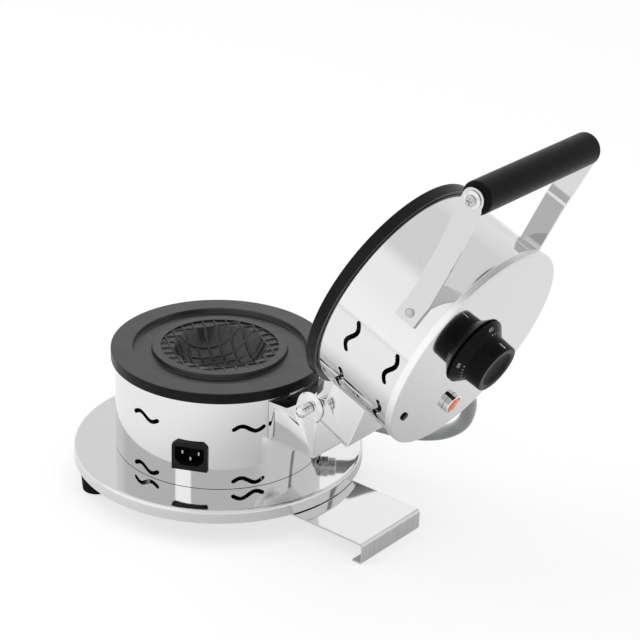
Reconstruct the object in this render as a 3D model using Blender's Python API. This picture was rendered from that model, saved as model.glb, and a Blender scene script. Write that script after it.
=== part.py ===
"""Countertop burger mould press: a heated drum on a polished base, a hinged heated lid with a handle,
and a thermostat knob on the lid. Metres, +Z up, +X towards the hinge, -Y the side of the inlet.

Base pieces are drawn about the axis of the drums with the table at zero height. Lid pieces are drawn
as if the lid were closed, with heights from the hinge axis, and hang on a pivot that opens them.
"""
import math

import bmesh
import bpy
from mathutils import Matrix, Vector

# Fits that every piece shares
CLEARANCE = 0.0003
OVERRUN = 0.002
MERGE_DISTANCE = 0.000001
ROUND_STEPS = 40
PLATE_STEPS = 36
SMALL_STEPS = 12
SCREW_STEPS = 8
CORNER_STEPS = 3
SHARP_ANGLE = 35

# Base disc and its weld bosses
DISC_RADIUS = 0.1233
DISC_TOP = 0.0306
DISC_SHEET = 0.001
DISC_RIM_DEPTH = 0.0114
DISC_EDGE_RADIUS = 0.0030
BOSS_RADIUS = 0.0046
BOSS_LENGTH = 0.0066

# Feet and their screws
FOOT_ANGLES = {"near": -120, "far": 120}
FOOT_TOP_RADIUS = 0.0122
FOOT_BOTTOM_RADIUS = 0.0100
FOOT_EDGE = 0.0012
FOOT_WELL_RADIUS = 0.0056
FOOT_WELL_DEPTH = 0.0135
FOOT_WEB = 0.0060
FOOT_SCREW_RADIUS = 0.0020
FOOT_SCREW_HEAD_RADIUS = 0.0042
FOOT_SCREW_HEAD_HEIGHT = 0.0026

# Rear stand
STAND_HALF_WIDTH = 0.0379
STAND_REACH = 0.0647
STAND_TOP = 0.0185
STAND_SHEET = 0.0015
STAND_BEND_RADIUS = 0.0030
STAND_LIP = 0.0085
STAND_TAB_BEFORE_SCREW = 0.0096
STAND_TAB_BEHIND_SCREW = 0.0164
STAND_JOGGLE_LENGTH = 0.012

# Lower housing
HOUSING_RADIUS = 0.0879
HOUSING_SHEET = 0.001
FLANGE_WIDTH = 0.0125

# Screws that hold sheet to sheet and plates to housings
SCREW_RADIUS = 0.0018
SCREW_HEAD_RADIUS = 0.0036
SCREW_HEAD_HEIGHT = 0.0022
HEAD_CROWN_SHARE = 0.7
FLANGE_SCREW_INSET = 0.0064
STAND_SCREW_SIDE = 0.0305
FRONT_SCREW_ANGLE = 150
BASE_SCREW_LENGTH = 0.0060
PLATE_SCREW_ANGLES = (60, 180, 300)
PLATE_SCREW_BITE = 0.005

# Vents: one period of a wave, pressed through the drum
VENT_LENGTH = 0.0270
VENT_WIDTH = 0.0037
VENT_WAVE = 0.0245
VENT_SWING = 0.0025
VENT_STATIONS = 7
LOWER_VENT_ANGLES = (-91, -32, 32, 91)
LOWER_VENT_ROWS = (0.0375, 0.0852)
UPPER_VENT_ANGLES = (-94, -63, -32, 32, 63, 94)
UPPER_VENT_ROWS = (0.0355, 0.0744)

# Plates, both from one pattern
PLATE_OVERHANG = 0.0033
PLATE_THICKNESS = 0.0092
LOWER_PLATE_TOP = 0.1196
CLOSED_PLATE_GAP = 0.0007
PLATE_EDGE = 0.0008
RECESS_RADIUS = 0.073
RECESS_DEPTH = 0.0039
RECESS_DRAFT = 0.0010
MOULD_RING_RADIUS = 0.0564
RIB_FIELD_RADIUS = 0.0495
LEDGE_DEPTH = 0.0013
BOWL_RADIUS = 0.0385
BOWL_DEPTH = 0.0206
BOWL_FULLNESS = 5
BOWL_SHOULDER = 0.0040
BOWL_WALL = 0.005
BOWL_FLOOR_SHARE = 0.55
RIB_PITCH = 0.0098
RIB_HEIGHT = 0.0012
RIB_FOOT_WIDTH = 0.0020
RIB_ANGLE = -30

# Heating elements
HEATER_TUBE_RADIUS = 0.0032
HEATER_SWEEP = 325
HEATER_POINTS = 18

# Hinge
HINGE_STANDOFF = 0.0368
HINGE_Z = 0.1171
OPEN_ANGLE = 111.9
PIN_RADIUS = 0.003
PIN_CLEARANCE = 0.0001
PIN_STEPS = 16
BRACKET_SHEET = 0.0012
BRACKET_HALF_WIDTH = 0.0322
BRACKET_REAR = 0.0076
BRACKET_NEAR_FACE = 0.0096
BRACKET_FAR_FACE = 0.04415
BRACKET_BEND_RADIUS = 0.003
CHEEK_INSET = 0.00015
EAR_RADIUS = 0.0127
INNER_EAR_RADIUS = 0.0090
EAR_NECK_FRONT = 0.016
SPACER_RADIUS = 0.0046
SPACER_LENGTH = 0.0078
SPACER_RINGS = 2
SPACER_GROOVE = 0.0006
SPACER_GROOVE_SHARE = 0.25
DOME_NUT_RADIUS = 0.0051
DOME_NUT_LENGTH = 0.0052
DOME_NUT_FLAT_SHARE = 0.45
DOME_NUT_ANGLES = (30, 60)

# Mains inlet
INLET_ANGLE = -63.5
INLET_HEIGHT_ON_DRUM = 0.0601
INLET_WIDTH = 0.0300
INLET_HEIGHT = 0.0255
INLET_CHAMFER = 0.0036
INLET_STANDOUT = 0.0022
INLET_DEPTH = 0.024
SOCKET_WIDTH = 0.0242
SOCKET_HEIGHT = 0.0166
SOCKET_CHAMFER = 0.0050
SOCKET_DEPTH = 0.0165
INLET_PIN_SPACING = 0.014
INLET_PIN_DROP = 0.004
INLET_PIN_THICKNESS = 0.002
INLET_PIN_HEIGHT = 0.004
INLET_PIN_RECESS = 0.0035

# Upper housing and cap, heights from the hinge axis with the lid closed
UPPER_SEAM = 0.0005
CAP_TOP = 0.0902
CAP_SKIRT = 0.0063
CAP_SHEET = 0.001
CAP_EDGE_RADIUS = 0.0012

# Handle
GRIP_STANDOFF = 0.0683
GRIP_Z = 0.0696
GRIP_RADIUS = 0.0124
GRIP_HALF_LENGTH = 0.0707
GRIP_END_RADIUS = 0.003
GRIP_STEPS = 24
ROD_RADIUS = 0.0030
ROD_HALF_LENGTH = 0.0560
ARM_WIDTH = 0.0180
ARM_SHEET = 0.0025
ARM_FOOT_Z = 0.0642
ARM_TAB_START_ANGLE = 118
ARM_TAB_END_ANGLE = 130.3
ARM_TAB_STEPS = 3
ARM_KINK_STANDOFF = 0.0171
ARM_KINK_INSET = 0.0207
ARM_FLAT_BEFORE_GRIP = 0.0122
ARM_END_STEPS = 6
ARM_MITRE_LIMIT = 0.5
RIVET_ANGLE = 122.5
RIVET_RADIUS = 0.0017
RIVET_HEAD_RADIUS = 0.0034
RIVET_HEAD_HEIGHT = 0.0014
RIVET_TAIL = 0.0014
RIVET_CROWN_SHARE = 0.8
HANDLE_SCREW_RADIUS = 0.002
HANDLE_SCREW_HEAD_RADIUS = 0.0044
HANDLE_SCREW_HEAD_HEIGHT = 0.0018
HANDLE_SCREW_RIM_SHARE = 0.4
HANDLE_SCREW_CROWN_SHARE = 0.6
CUP_WASHER_RADIUS = 0.0070
CUP_WASHER_HEIGHT = 0.0016
CUP_WASHER_RIM = 0.0005

# Lamp and plug on the cap
LAMP_X = 0.054
LAMP_Y = 0.001
LAMP_BEZEL_RADIUS = 0.0082
LAMP_LENS_RADIUS = 0.0065
LAMP_NECK_RADIUS = 0.0076
LAMP_HEIGHT = 0.0050
LAMP_CROWN = 0.0008
LAMP_DEPTH = 0.012
PLUG_ANGLE = -58.87
PLUG_INSET = 0.01396
PLUG_RADIUS = 0.0034
PLUG_STEM_RADIUS = 0.0024
PLUG_HEIGHT = 0.0014
PLUG_DEPTH = 0.003

# Thermostat and knob
THERMOSTAT_RADIUS = 0.0165
THERMOSTAT_HEIGHT = 0.014
SHAFT_RADIUS = 0.003
SHAFT_LENGTH_IN_KNOB = 0.0160
SHAFT_LENGTH_IN_BODY = 0.009
KNOB_LIFT = 0.0006
KNOB_SKIRT_RADIUS = 0.0285
KNOB_SKIRT_EDGE = 0.0012
KNOB_SKIRT_HEIGHT = 0.0086
KNOB_RADIUS = 0.0208
KNOB_TIP_RADIUS = 0.0203
KNOB_HEIGHT = 0.0235
KNOB_EDGE = 0.0010
KNOB_DISH_RADIUS = 0.0165
KNOB_DISH_DEPTH = 0.0007
KNOB_WALL = 0.002
KNOB_HUB_RADIUS = 0.0058
KNOB_HUB_SHORTFALL = 0.0014
KNOB_CROWN_WALL = 0.0030

# Glands and conduit
GLAND_ANGLE = 39
LOWER_GLAND_HEIGHT = 0.055
UPPER_GLAND_HEIGHT = 0.060
GLAND_NECK_RADIUS = 0.0076
GLAND_HEX_RADIUS = 0.0098
GLAND_HEX_LENGTH = 0.006
GLAND_LENGTH = 0.013
GLAND_TAIL = 0.006
CONDUIT_RADIUS = 0.006
CONDUIT_STEPS_PER_SPAN = 4
# Route of the conduit between its two straight ends: distance behind the hinge axis, to the side, up
CONDUIT_ROUTE = (
    (-0.0167, 0.088, 0.047),
    (0.0093, 0.098, 0.046),
    (0.0373, 0.100, 0.056),
    (0.0593, 0.096, 0.074),
    (0.0703, 0.089, 0.096),
    (0.0723, 0.081, 0.114),
)

# Places worked out from the sizes above
OPEN_TURN = math.radians(OPEN_ANGLE)
DISC_UNDERSIDE = DISC_TOP - DISC_SHEET
FOOT_PLACE_RADIUS = DISC_RADIUS - DISC_EDGE_RADIUS - CLEARANCE - FOOT_TOP_RADIUS
FLANGE_SCREW_CIRCLE = HOUSING_RADIUS - FLANGE_SCREW_INSET
REAR_SCREW_ANGLE = math.degrees(math.asin(STAND_SCREW_SIDE / FLANGE_SCREW_CIRCLE))
BASE_SCREW_ANGLES = {"rear_near": -REAR_SCREW_ANGLE, "rear_far": REAR_SCREW_ANGLE,
                     "front_near": -FRONT_SCREW_ANGLE, "front_far": FRONT_SCREW_ANGLE}
STAND_SCREW_X = FLANGE_SCREW_CIRCLE * math.cos(math.radians(REAR_SCREW_ANGLE))
STAND_TAB_FRONT = STAND_SCREW_X - STAND_TAB_BEFORE_SCREW
STAND_TAB_REAR = STAND_SCREW_X + STAND_TAB_BEHIND_SCREW
STAND_END = DISC_RADIUS + STAND_REACH
PLATE_RADIUS = HOUSING_RADIUS + PLATE_OVERHANG
CAP_RADIUS = HOUSING_RADIUS + CLEARANCE + CAP_SHEET
HINGE_X = HOUSING_RADIUS + HINGE_STANDOFF
HEATER_CIRCLE_RADIUS = (BOWL_RADIUS + BOWL_WALL + HOUSING_RADIUS - FLANGE_WIDTH) / 2
GRIP_X = -HOUSING_RADIUS - GRIP_STANDOFF
ARM_KINK_X = -HOUSING_RADIUS - ARM_KINK_STANDOFF
ARM_KINK_Y = HOUSING_RADIUS - ARM_KINK_INSET
ARM_FLAT_START_X = GRIP_X + ARM_FLAT_BEFORE_GRIP
HOUSING_BOTTOM = DISC_TOP + CLEARANCE
LOWER_PLATE_BACK = LOWER_PLATE_TOP - PLATE_THICKNESS
HOUSING_TOP = LOWER_PLATE_BACK - CLEARANCE
HOUSING_INSIDE = HOUSING_RADIUS - HOUSING_SHEET
UPPER_PLATE_FACE = LOWER_PLATE_TOP + CLOSED_PLATE_GAP - HINGE_Z
UPPER_PLATE_BACK = UPPER_PLATE_FACE + PLATE_THICKNESS
UPPER_HOUSING_BOTTOM = UPPER_PLATE_BACK + UPPER_SEAM
CAP_UNDERSIDE = CAP_TOP - CAP_SHEET
UPPER_HOUSING_TOP = CAP_UNDERSIDE - CLEARANCE
ARM_SIDE = GRIP_HALF_LENGTH + CLEARANCE + ARM_SHEET / 2
ARM_OUTER_FACE = GRIP_HALF_LENGTH + CLEARANCE + ARM_SHEET
GRIP_OPEN_X = HINGE_X + (GRIP_X - HINGE_X) * math.cos(OPEN_TURN) + GRIP_Z * math.sin(OPEN_TURN)
CENTRING_SHIFT = (DISC_RADIUS - GRIP_OPEN_X - GRIP_RADIUS) / 2


def clear_scene():
    for item in list(bpy.data.objects):
        bpy.data.objects.remove(item, do_unlink=True)


def material(name, colour, metallic, roughness):
    """One Principled material for each kind of surface, made once."""
    found = bpy.data.materials.get(name)
    if found:
        return found
    made = bpy.data.materials.new(name)
    made.use_nodes = True
    shader = made.node_tree.nodes["Principled BSDF"]
    shader.inputs["Base Color"].default_value = (*colour, 1)
    shader.inputs["Metallic"].default_value = metallic
    shader.inputs["Roughness"].default_value = roughness
    return made


def polished_steel():
    return material("polished_steel", (0.80, 0.80, 0.80), 1, 0.08)


def brushed_steel():
    return material("brushed_steel", (0.66, 0.66, 0.65), 1, 0.30)


def coated_plate():
    return material("coated_plate", (0.045, 0.046, 0.047), 0, 0.45)


def black_plastic():
    return material("black_plastic", (0.015, 0.015, 0.016), 0, 0.35)


def rubber():
    return material("rubber", (0.02, 0.02, 0.02), 0, 0.75)


def orange_lens():
    return material("orange_lens", (0.85, 0.16, 0.04), 0, 0.12)


def grey_sleeve():
    return material("grey_sleeve", (0.32, 0.33, 0.34), 0, 0.40)


def element_steel():
    return material("element_steel", (0.22, 0.21, 0.20), 1, 0.45)


def empty(name, parent, location, turn=0):
    pivot = bpy.data.objects.new(name, None)
    pivot.parent = parent
    pivot.location = location
    pivot.rotation_euler = (0, turn, 0)
    bpy.context.collection.objects.link(pivot)
    return pivot


def finish(name, bm, group, surface, smooth=True):
    """Turns a bmesh into an object of a group: a pivot and the shift of the drawing from it."""
    pivot, offset = group
    bmesh.ops.remove_doubles(bm, verts=bm.verts, dist=MERGE_DISTANCE)
    bmesh.ops.recalc_face_normals(bm, faces=bm.faces)
    mesh = bpy.data.meshes.new(name)
    bm.to_mesh(mesh)
    bm.free()
    if smooth:
        mesh.shade_smooth()
        mesh.set_sharp_from_angle(angle=math.radians(SHARP_ANGLE))
    made = bpy.data.objects.new(name, mesh)
    bpy.context.collection.objects.link(made)
    made.parent = pivot
    made.location = offset
    if surface is None:
        made.hide_render = True
        made.display_type = "WIRE"
    else:
        mesh.materials.append(surface)
    return made


def boolean(piece, tool, operation="DIFFERENCE"):
    step = piece.modifiers.new(operation.title(), "BOOLEAN")
    step.operation = operation
    step.solver = "EXACT"
    step.object = tool


def revolved(name, profile, group, surface, steps=ROUND_STEPS, place=None):
    """Spins a profile of (radius, height) pairs about Z. It closes itself unless it ends on the axis."""
    bm = bmesh.new()
    add_revolved(bm, profile, steps, place)
    return finish(name, bm, group, surface)


def add_revolved(bm, profile, steps, place=None):
    before = set(bm.verts)
    points = [bm.verts.new((radius, 0, height)) for radius, height in profile]
    edges = [bm.edges.new(pair) for pair in zip(points, points[1:])]
    if profile[0][0] > 0:
        edges.append(bm.edges.new((points[-1], points[0])))
    bmesh.ops.spin(bm, geom=points + edges, cent=(0, 0, 0), axis=(0, 0, 1),
                   angle=2 * math.pi, steps=steps, use_merge=True)
    if place is not None:
        made = [vert for vert in bm.verts if vert not in before]
        bmesh.ops.transform(bm, matrix=place, verts=made)


def add_prism(bm, outline, start, end, place=None):
    """A prism on an outline of (a, b) pairs, from one depth to another along its third axis."""
    ring = [bm.verts.new((a, b, start)) for a, b in outline]
    face = bm.faces.new(ring)
    grown = bmesh.ops.extrude_face_region(bm, geom=[face])
    moved = [item for item in grown["geom"] if isinstance(item, bmesh.types.BMVert)]
    bmesh.ops.translate(bm, vec=(0, 0, end - start), verts=moved)
    if place is not None:
        bmesh.ops.transform(bm, matrix=place, verts=ring + moved)


def arc(centre_a, centre_b, radius, start, end, steps):
    """Points of an arc in degrees, both ends included."""
    turns = [math.radians(start + (end - start) * i / steps) for i in range(steps + 1)]
    return [(centre_a + radius * math.cos(t), centre_b + radius * math.sin(t)) for t in turns]


def along_x(x, y, z):
    """Places a piece drawn about Z so that its axis points along +X."""
    return Matrix.Translation((x, y, z)) @ Matrix.Rotation(math.pi / 2, 4, "Y")


def along_y(x, y, z, side=1):
    """Places a piece drawn about Z so that its axis points along +Y, or -Y for side -1."""
    return Matrix.Translation((x, y, z)) @ Matrix.Rotation(-side * math.pi / 2, 4, "X")


def outwards(angle, height, radius=0):
    """Places a piece drawn about Z so that its axis points out of a drum at an angle and height."""
    return (Matrix.Rotation(math.radians(angle), 4, "Z")
            @ along_x(radius, 0, height))


def on_circle(angle, radius, height=0):
    turn = math.radians(angle)
    return Vector((radius * math.cos(turn), radius * math.sin(turn), height))


# Base disc

def base_disc(group):
    inner_edge = DISC_EDGE_RADIUS - DISC_SHEET
    corner_r = DISC_RADIUS - DISC_EDGE_RADIUS
    corner_z = DISC_TOP - DISC_EDGE_RADIUS
    profile = [(0, DISC_TOP)]
    profile += arc(corner_r, corner_z, DISC_EDGE_RADIUS, 90, 0, CORNER_STEPS)
    profile += [(DISC_RADIUS, DISC_TOP - DISC_RIM_DEPTH),
                (DISC_RADIUS - DISC_SHEET, DISC_TOP - DISC_RIM_DEPTH)]
    profile += arc(corner_r, corner_z, inner_edge, 0, 90, 1)
    profile += [(0, DISC_UNDERSIDE)]
    disc = revolved("base_disc", profile, group, polished_steel())
    bm = bmesh.new()
    for angle in FOOT_ANGLES.values():
        spot = on_circle(angle, FOOT_PLACE_RADIUS, DISC_UNDERSIDE - BOSS_LENGTH)
        boss = [(0, 0), (BOSS_RADIUS, 0), (BOSS_RADIUS, BOSS_LENGTH + DISC_SHEET / 2),
                (0, BOSS_LENGTH + DISC_SHEET / 2)]
        add_revolved(bm, boss, SMALL_STEPS, Matrix.Translation(spot))
    boolean(disc, finish("boss_tool", bm, group, None), "UNION")
    bm = bmesh.new()
    for angle in BASE_SCREW_ANGLES.values():
        spot = on_circle(angle, FLANGE_SCREW_CIRCLE, DISC_UNDERSIDE - OVERRUN)
        add_revolved(bm, screw_hole(DISC_SHEET + 2 * OVERRUN), SCREW_STEPS, Matrix.Translation(spot))
    boolean(disc, finish("disc_hole_tool", bm, group, None))
    return disc


def screw_hole(length, radius=SCREW_RADIUS):
    hole = radius + CLEARANCE
    return [(0, 0), (hole, 0), (hole, length), (0, length)]


# Feet

def foot(side, group):
    angle = FOOT_ANGLES[side]
    top = DISC_UNDERSIDE - CLEARANCE
    hole = FOOT_SCREW_RADIUS + CLEARANCE
    boss_well = BOSS_RADIUS + CLEARANCE
    web_top = FOOT_WELL_DEPTH + FOOT_WEB
    profile = [
        (FOOT_WELL_RADIUS, 0),
        (FOOT_BOTTOM_RADIUS - FOOT_EDGE, 0),
        (FOOT_BOTTOM_RADIUS, FOOT_EDGE),
        (FOOT_TOP_RADIUS, top),
        (boss_well, top),
        (boss_well, web_top),
        (hole, web_top),
        (hole, FOOT_WELL_DEPTH),
        (FOOT_WELL_RADIUS, FOOT_WELL_DEPTH),
    ]
    spot = Matrix.Translation(on_circle(angle, FOOT_PLACE_RADIUS))
    revolved(f"foot_{side}", profile, group, rubber(), 2 * SCREW_STEPS, spot)
    head_top = FOOT_WELL_DEPTH - CLEARANCE
    tip = DISC_UNDERSIDE - BOSS_LENGTH - CLEARANCE
    screw = [
        (0, head_top - FOOT_SCREW_HEAD_HEIGHT),
        (FOOT_SCREW_HEAD_RADIUS * HEAD_CROWN_SHARE, head_top - FOOT_SCREW_HEAD_HEIGHT),
        (FOOT_SCREW_HEAD_RADIUS, head_top - FOOT_SCREW_HEAD_HEIGHT / 2),
        (FOOT_SCREW_HEAD_RADIUS, head_top),
        (FOOT_SCREW_RADIUS, head_top),
        (FOOT_SCREW_RADIUS, tip),
        (0, tip),
    ]
    revolved(f"foot_screw_{side}", screw, group, brushed_steel(), SCREW_STEPS, spot)


# Rear stand

def rear_stand(group):
    tab_top = DISC_UNDERSIDE - CLEARANCE
    joggle_end = STAND_TAB_REAR + STAND_JOGGLE_LENGTH
    inner = STAND_BEND_RADIUS - STAND_SHEET
    bend_x = STAND_END - STAND_BEND_RADIUS
    lip_end = STAND_END - STAND_SHEET - STAND_LIP
    outline = [(STAND_TAB_FRONT, tab_top), (STAND_TAB_REAR, tab_top), (joggle_end, STAND_TOP)]
    outline += arc(bend_x, STAND_TOP - STAND_BEND_RADIUS, STAND_BEND_RADIUS, 90, 0, CORNER_STEPS)
    outline += arc(bend_x, STAND_BEND_RADIUS, STAND_BEND_RADIUS, 0, -90, CORNER_STEPS)
    outline += [(lip_end, 0), (lip_end, STAND_SHEET)]
    outline += arc(bend_x, STAND_BEND_RADIUS, inner, -90, 0, CORNER_STEPS)
    outline += arc(bend_x, STAND_TOP - STAND_BEND_RADIUS, inner, 0, 90, CORNER_STEPS)
    outline += [(joggle_end, STAND_TOP - STAND_SHEET), (STAND_TAB_REAR, tab_top - STAND_SHEET),
                (STAND_TAB_FRONT, tab_top - STAND_SHEET)]
    bm = bmesh.new()
    add_prism(bm, outline, -STAND_HALF_WIDTH, STAND_HALF_WIDTH, Matrix.Rotation(math.pi / 2, 4, "X"))
    stand = finish("rear_stand", bm, group, polished_steel())
    bm = bmesh.new()
    for name in ("rear_near", "rear_far"):
        spot = on_circle(BASE_SCREW_ANGLES[name], FLANGE_SCREW_CIRCLE,
                         tab_top - STAND_SHEET - OVERRUN)
        add_revolved(bm, screw_hole(STAND_SHEET + 2 * OVERRUN), SCREW_STEPS, Matrix.Translation(spot))
    boolean(stand, finish("stand_hole_tool", bm, group, None))


def screw_profile(length):
    """A pan head below zero height and a shank of a length above it."""
    return [
        (0, -SCREW_HEAD_HEIGHT),
        (SCREW_HEAD_RADIUS * HEAD_CROWN_SHARE, -SCREW_HEAD_HEIGHT),
        (SCREW_HEAD_RADIUS, -SCREW_HEAD_HEIGHT / 2),
        (SCREW_HEAD_RADIUS, 0),
        (SCREW_RADIUS, 0),
        (SCREW_RADIUS, length),
        (0, length),
    ]


def base_screws(group):
    for name, angle in BASE_SCREW_ANGLES.items():
        seat = DISC_UNDERSIDE - CLEARANCE
        if name.startswith("rear"):
            seat -= STAND_SHEET + CLEARANCE
        length = HOUSING_BOTTOM + HOUSING_SHEET + BASE_SCREW_LENGTH / 2 - seat
        spot = Matrix.Translation(on_circle(angle, FLANGE_SCREW_CIRCLE, seat))
        revolved(f"base_screw_{name}", screw_profile(length), group, brushed_steel(),
                 SCREW_STEPS, spot)


# Vents

def add_vent(bm, angle, height):
    """A wave-shaped slot cutter, wrapped on the drum."""
    half = VENT_LENGTH / 2
    inner, outer = HOUSING_INSIDE - OVERRUN, HOUSING_RADIUS + OVERRUN
    rows = []
    for station in range(VENT_STATIONS):
        run = -half + VENT_LENGTH * station / (VENT_STATIONS - 1)
        phase = 2 * math.pi * run / VENT_WAVE
        rise = -VENT_SWING * math.sin(phase)
        slope = -VENT_SWING * math.cos(phase) * 2 * math.pi / VENT_WAVE
        across = Vector((-slope, 1)).normalized() * VENT_WIDTH / 2
        row = []
        for side, radius in ((1, outer), (-1, outer), (-1, inner), (1, inner)):
            turn = math.radians(angle) + (run + side * across.x) / HOUSING_RADIUS
            level = height + rise + side * across.y
            row.append(bm.verts.new((radius * math.cos(turn), radius * math.sin(turn), level)))
        rows.append(row)
    for first, second in zip(rows, rows[1:]):
        for i in range(4):
            j = (i + 1) % 4
            bm.faces.new((first[i], first[j], second[j], second[i]))
    bm.faces.new(rows[0])
    bm.faces.new(rows[-1])


# Housings

def drum_holes(bm, heights, vent_angles, gland_height):
    for angle in vent_angles:
        for height in heights:
            add_vent(bm, angle, height)
    neck = GLAND_NECK_RADIUS + CLEARANCE
    start = HOUSING_INSIDE - OVERRUN
    hole = [(0, 0), (neck, 0), (neck, HOUSING_SHEET + 2 * OVERRUN), (0, HOUSING_SHEET + 2 * OVERRUN)]
    add_revolved(bm, hole, SMALL_STEPS, outwards(GLAND_ANGLE, gland_height, start))


def add_flange_holes(bm, angles, circle, height, length):
    for angle in angles:
        spot = Matrix.Translation(on_circle(angle, circle, height))
        add_revolved(bm, screw_hole(length), SCREW_STEPS, spot)


def lower_housing(group):
    lip = HOUSING_RADIUS - FLANGE_WIDTH
    profile = [
        (lip, HOUSING_BOTTOM),
        (HOUSING_RADIUS, HOUSING_BOTTOM),
        (HOUSING_RADIUS, HOUSING_TOP),
        (lip, HOUSING_TOP),
        (lip, HOUSING_TOP - HOUSING_SHEET),
        (HOUSING_INSIDE, HOUSING_TOP - HOUSING_SHEET),
        (HOUSING_INSIDE, HOUSING_BOTTOM + HOUSING_SHEET),
        (lip, HOUSING_BOTTOM + HOUSING_SHEET),
    ]
    drum = revolved("lower_housing", profile, group, polished_steel())
    bm = bmesh.new()
    drum_holes(bm, LOWER_VENT_ROWS, LOWER_VENT_ANGLES, LOWER_GLAND_HEIGHT)
    add_flange_holes(bm, BASE_SCREW_ANGLES.values(), FLANGE_SCREW_CIRCLE,
                     HOUSING_BOTTOM - OVERRUN, HOUSING_SHEET + 2 * OVERRUN)
    add_flange_holes(bm, PLATE_SCREW_ANGLES, FLANGE_SCREW_CIRCLE,
                     HOUSING_TOP - HOUSING_SHEET - OVERRUN, HOUSING_SHEET + 2 * OVERRUN)
    depth = 2 * (HOUSING_RADIUS - HOUSING_INSIDE) + INLET_STANDOUT + OVERRUN
    add_prism(bm, inlet_outline(CLEARANCE), HOUSING_RADIUS - depth, HOUSING_RADIUS + OVERRUN,
              inlet_place())
    boolean(drum, finish("lower_drum_tool", bm, group, None))


def upper_housing(group):
    lip = HOUSING_RADIUS - FLANGE_WIDTH
    profile = [
        (lip, UPPER_HOUSING_BOTTOM),
        (HOUSING_RADIUS, UPPER_HOUSING_BOTTOM),
        (HOUSING_RADIUS, UPPER_HOUSING_TOP),
        (HOUSING_INSIDE, UPPER_HOUSING_TOP),
        (HOUSING_INSIDE, UPPER_HOUSING_BOTTOM + HOUSING_SHEET),
        (lip, UPPER_HOUSING_BOTTOM + HOUSING_SHEET),
    ]
    drum = revolved("upper_housing", profile, group, polished_steel())
    bm = bmesh.new()
    drum_holes(bm, UPPER_VENT_ROWS, UPPER_VENT_ANGLES, UPPER_GLAND_HEIGHT)
    add_flange_holes(bm, PLATE_SCREW_ANGLES, FLANGE_SCREW_CIRCLE,
                     UPPER_HOUSING_BOTTOM - OVERRUN, HOUSING_SHEET + 2 * OVERRUN)
    for side in (-1, 1):
        start = HOUSING_INSIDE - OVERRUN
        hole = screw_hole(HOUSING_SHEET + 2 * OVERRUN, RIVET_RADIUS)
        add_revolved(bm, hole, SCREW_STEPS, outwards(side * RIVET_ANGLE, ARM_FOOT_Z, start))
    boolean(drum, finish("upper_drum_tool", bm, group, None))


# Plates: a revolved blank, with the ribbed bowl cut out of it by a tool whose lower face is the ribs

def bowl_level(radius):
    """Height of the bowl's floor between the ribs, below the face of the plate."""
    depth = BOWL_DEPTH * (1 - (radius / BOWL_RADIUS) ** BOWL_FULLNESS)
    softened = (depth + math.sqrt(depth * depth + BOWL_SHOULDER * BOWL_SHOULDER)) / 2
    return -LEDGE_DEPTH - softened


def rib_lines():
    """Places across one family of ribs, each with the share of the rib's height that it has."""
    count = int((RIB_FIELD_RADIUS - RIB_FOOT_WIDTH) / RIB_PITCH)
    reach = RIB_FIELD_RADIUS + OVERRUN
    lines = [(-reach, 0)]
    for index in range(-count, count + 1):
        crest = index * RIB_PITCH
        lines += [(crest - RIB_FOOT_WIDTH / 2, 0), (crest, 1), (crest + RIB_FOOT_WIDTH / 2, 0)]
        if index < count:
            lines.append((crest + RIB_PITCH / 2, 0))
    return lines + [(reach, 0)]


def rib_tool(name, group, place):
    """A round block over the bowl, whose lower face carries the crossed ribs."""
    lines = rib_lines()
    bm = bmesh.new()
    grid = []
    for x, share_x in lines:
        row = []
        for y, share_y in lines:
            level = bowl_level(min(math.hypot(x, y), RIB_FIELD_RADIUS + OVERRUN))
            row.append(bm.verts.new((x, y, level + RIB_HEIGHT * max(share_x, share_y))))
        grid.append(row)
    lid_rows = [[bm.verts.new((x, y, OVERRUN)) for y in (lines[0][0], lines[-1][0])]
                for x in (lines[0][0], lines[-1][0])]
    for first, second in zip(grid, grid[1:]):
        for i in range(len(lines) - 1):
            bm.faces.new((first[i], first[i + 1], second[i + 1], second[i]))
    bm.faces.new([row[0] for row in grid] + [lid_rows[1][0], lid_rows[0][0]])
    bm.faces.new([row[-1] for row in grid] + [lid_rows[1][1], lid_rows[0][1]])
    bm.faces.new(grid[0] + [lid_rows[0][1], lid_rows[0][0]])
    bm.faces.new(grid[-1] + [lid_rows[1][1], lid_rows[1][0]])
    bm.faces.new((lid_rows[0][0], lid_rows[0][1], lid_rows[1][1], lid_rows[1][0]))
    turn = Matrix.Rotation(math.radians(RIB_ANGLE), 4, "Z")
    bmesh.ops.transform(bm, matrix=place @ turn, verts=bm.verts)
    tool = finish(name, bm, group, None)
    depth = LEDGE_DEPTH + BOWL_DEPTH + BOWL_SHOULDER + OVERRUN
    round_block = [(0, -depth), (RIB_FIELD_RADIUS, -depth), (RIB_FIELD_RADIUS, 2 * OVERRUN),
                   (0, 2 * OVERRUN)]
    bm = bmesh.new()
    add_revolved(bm, round_block, PLATE_STEPS, place)
    boolean(tool, finish(name + "_round", bm, group, None), "INTERSECT")
    return tool


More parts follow.
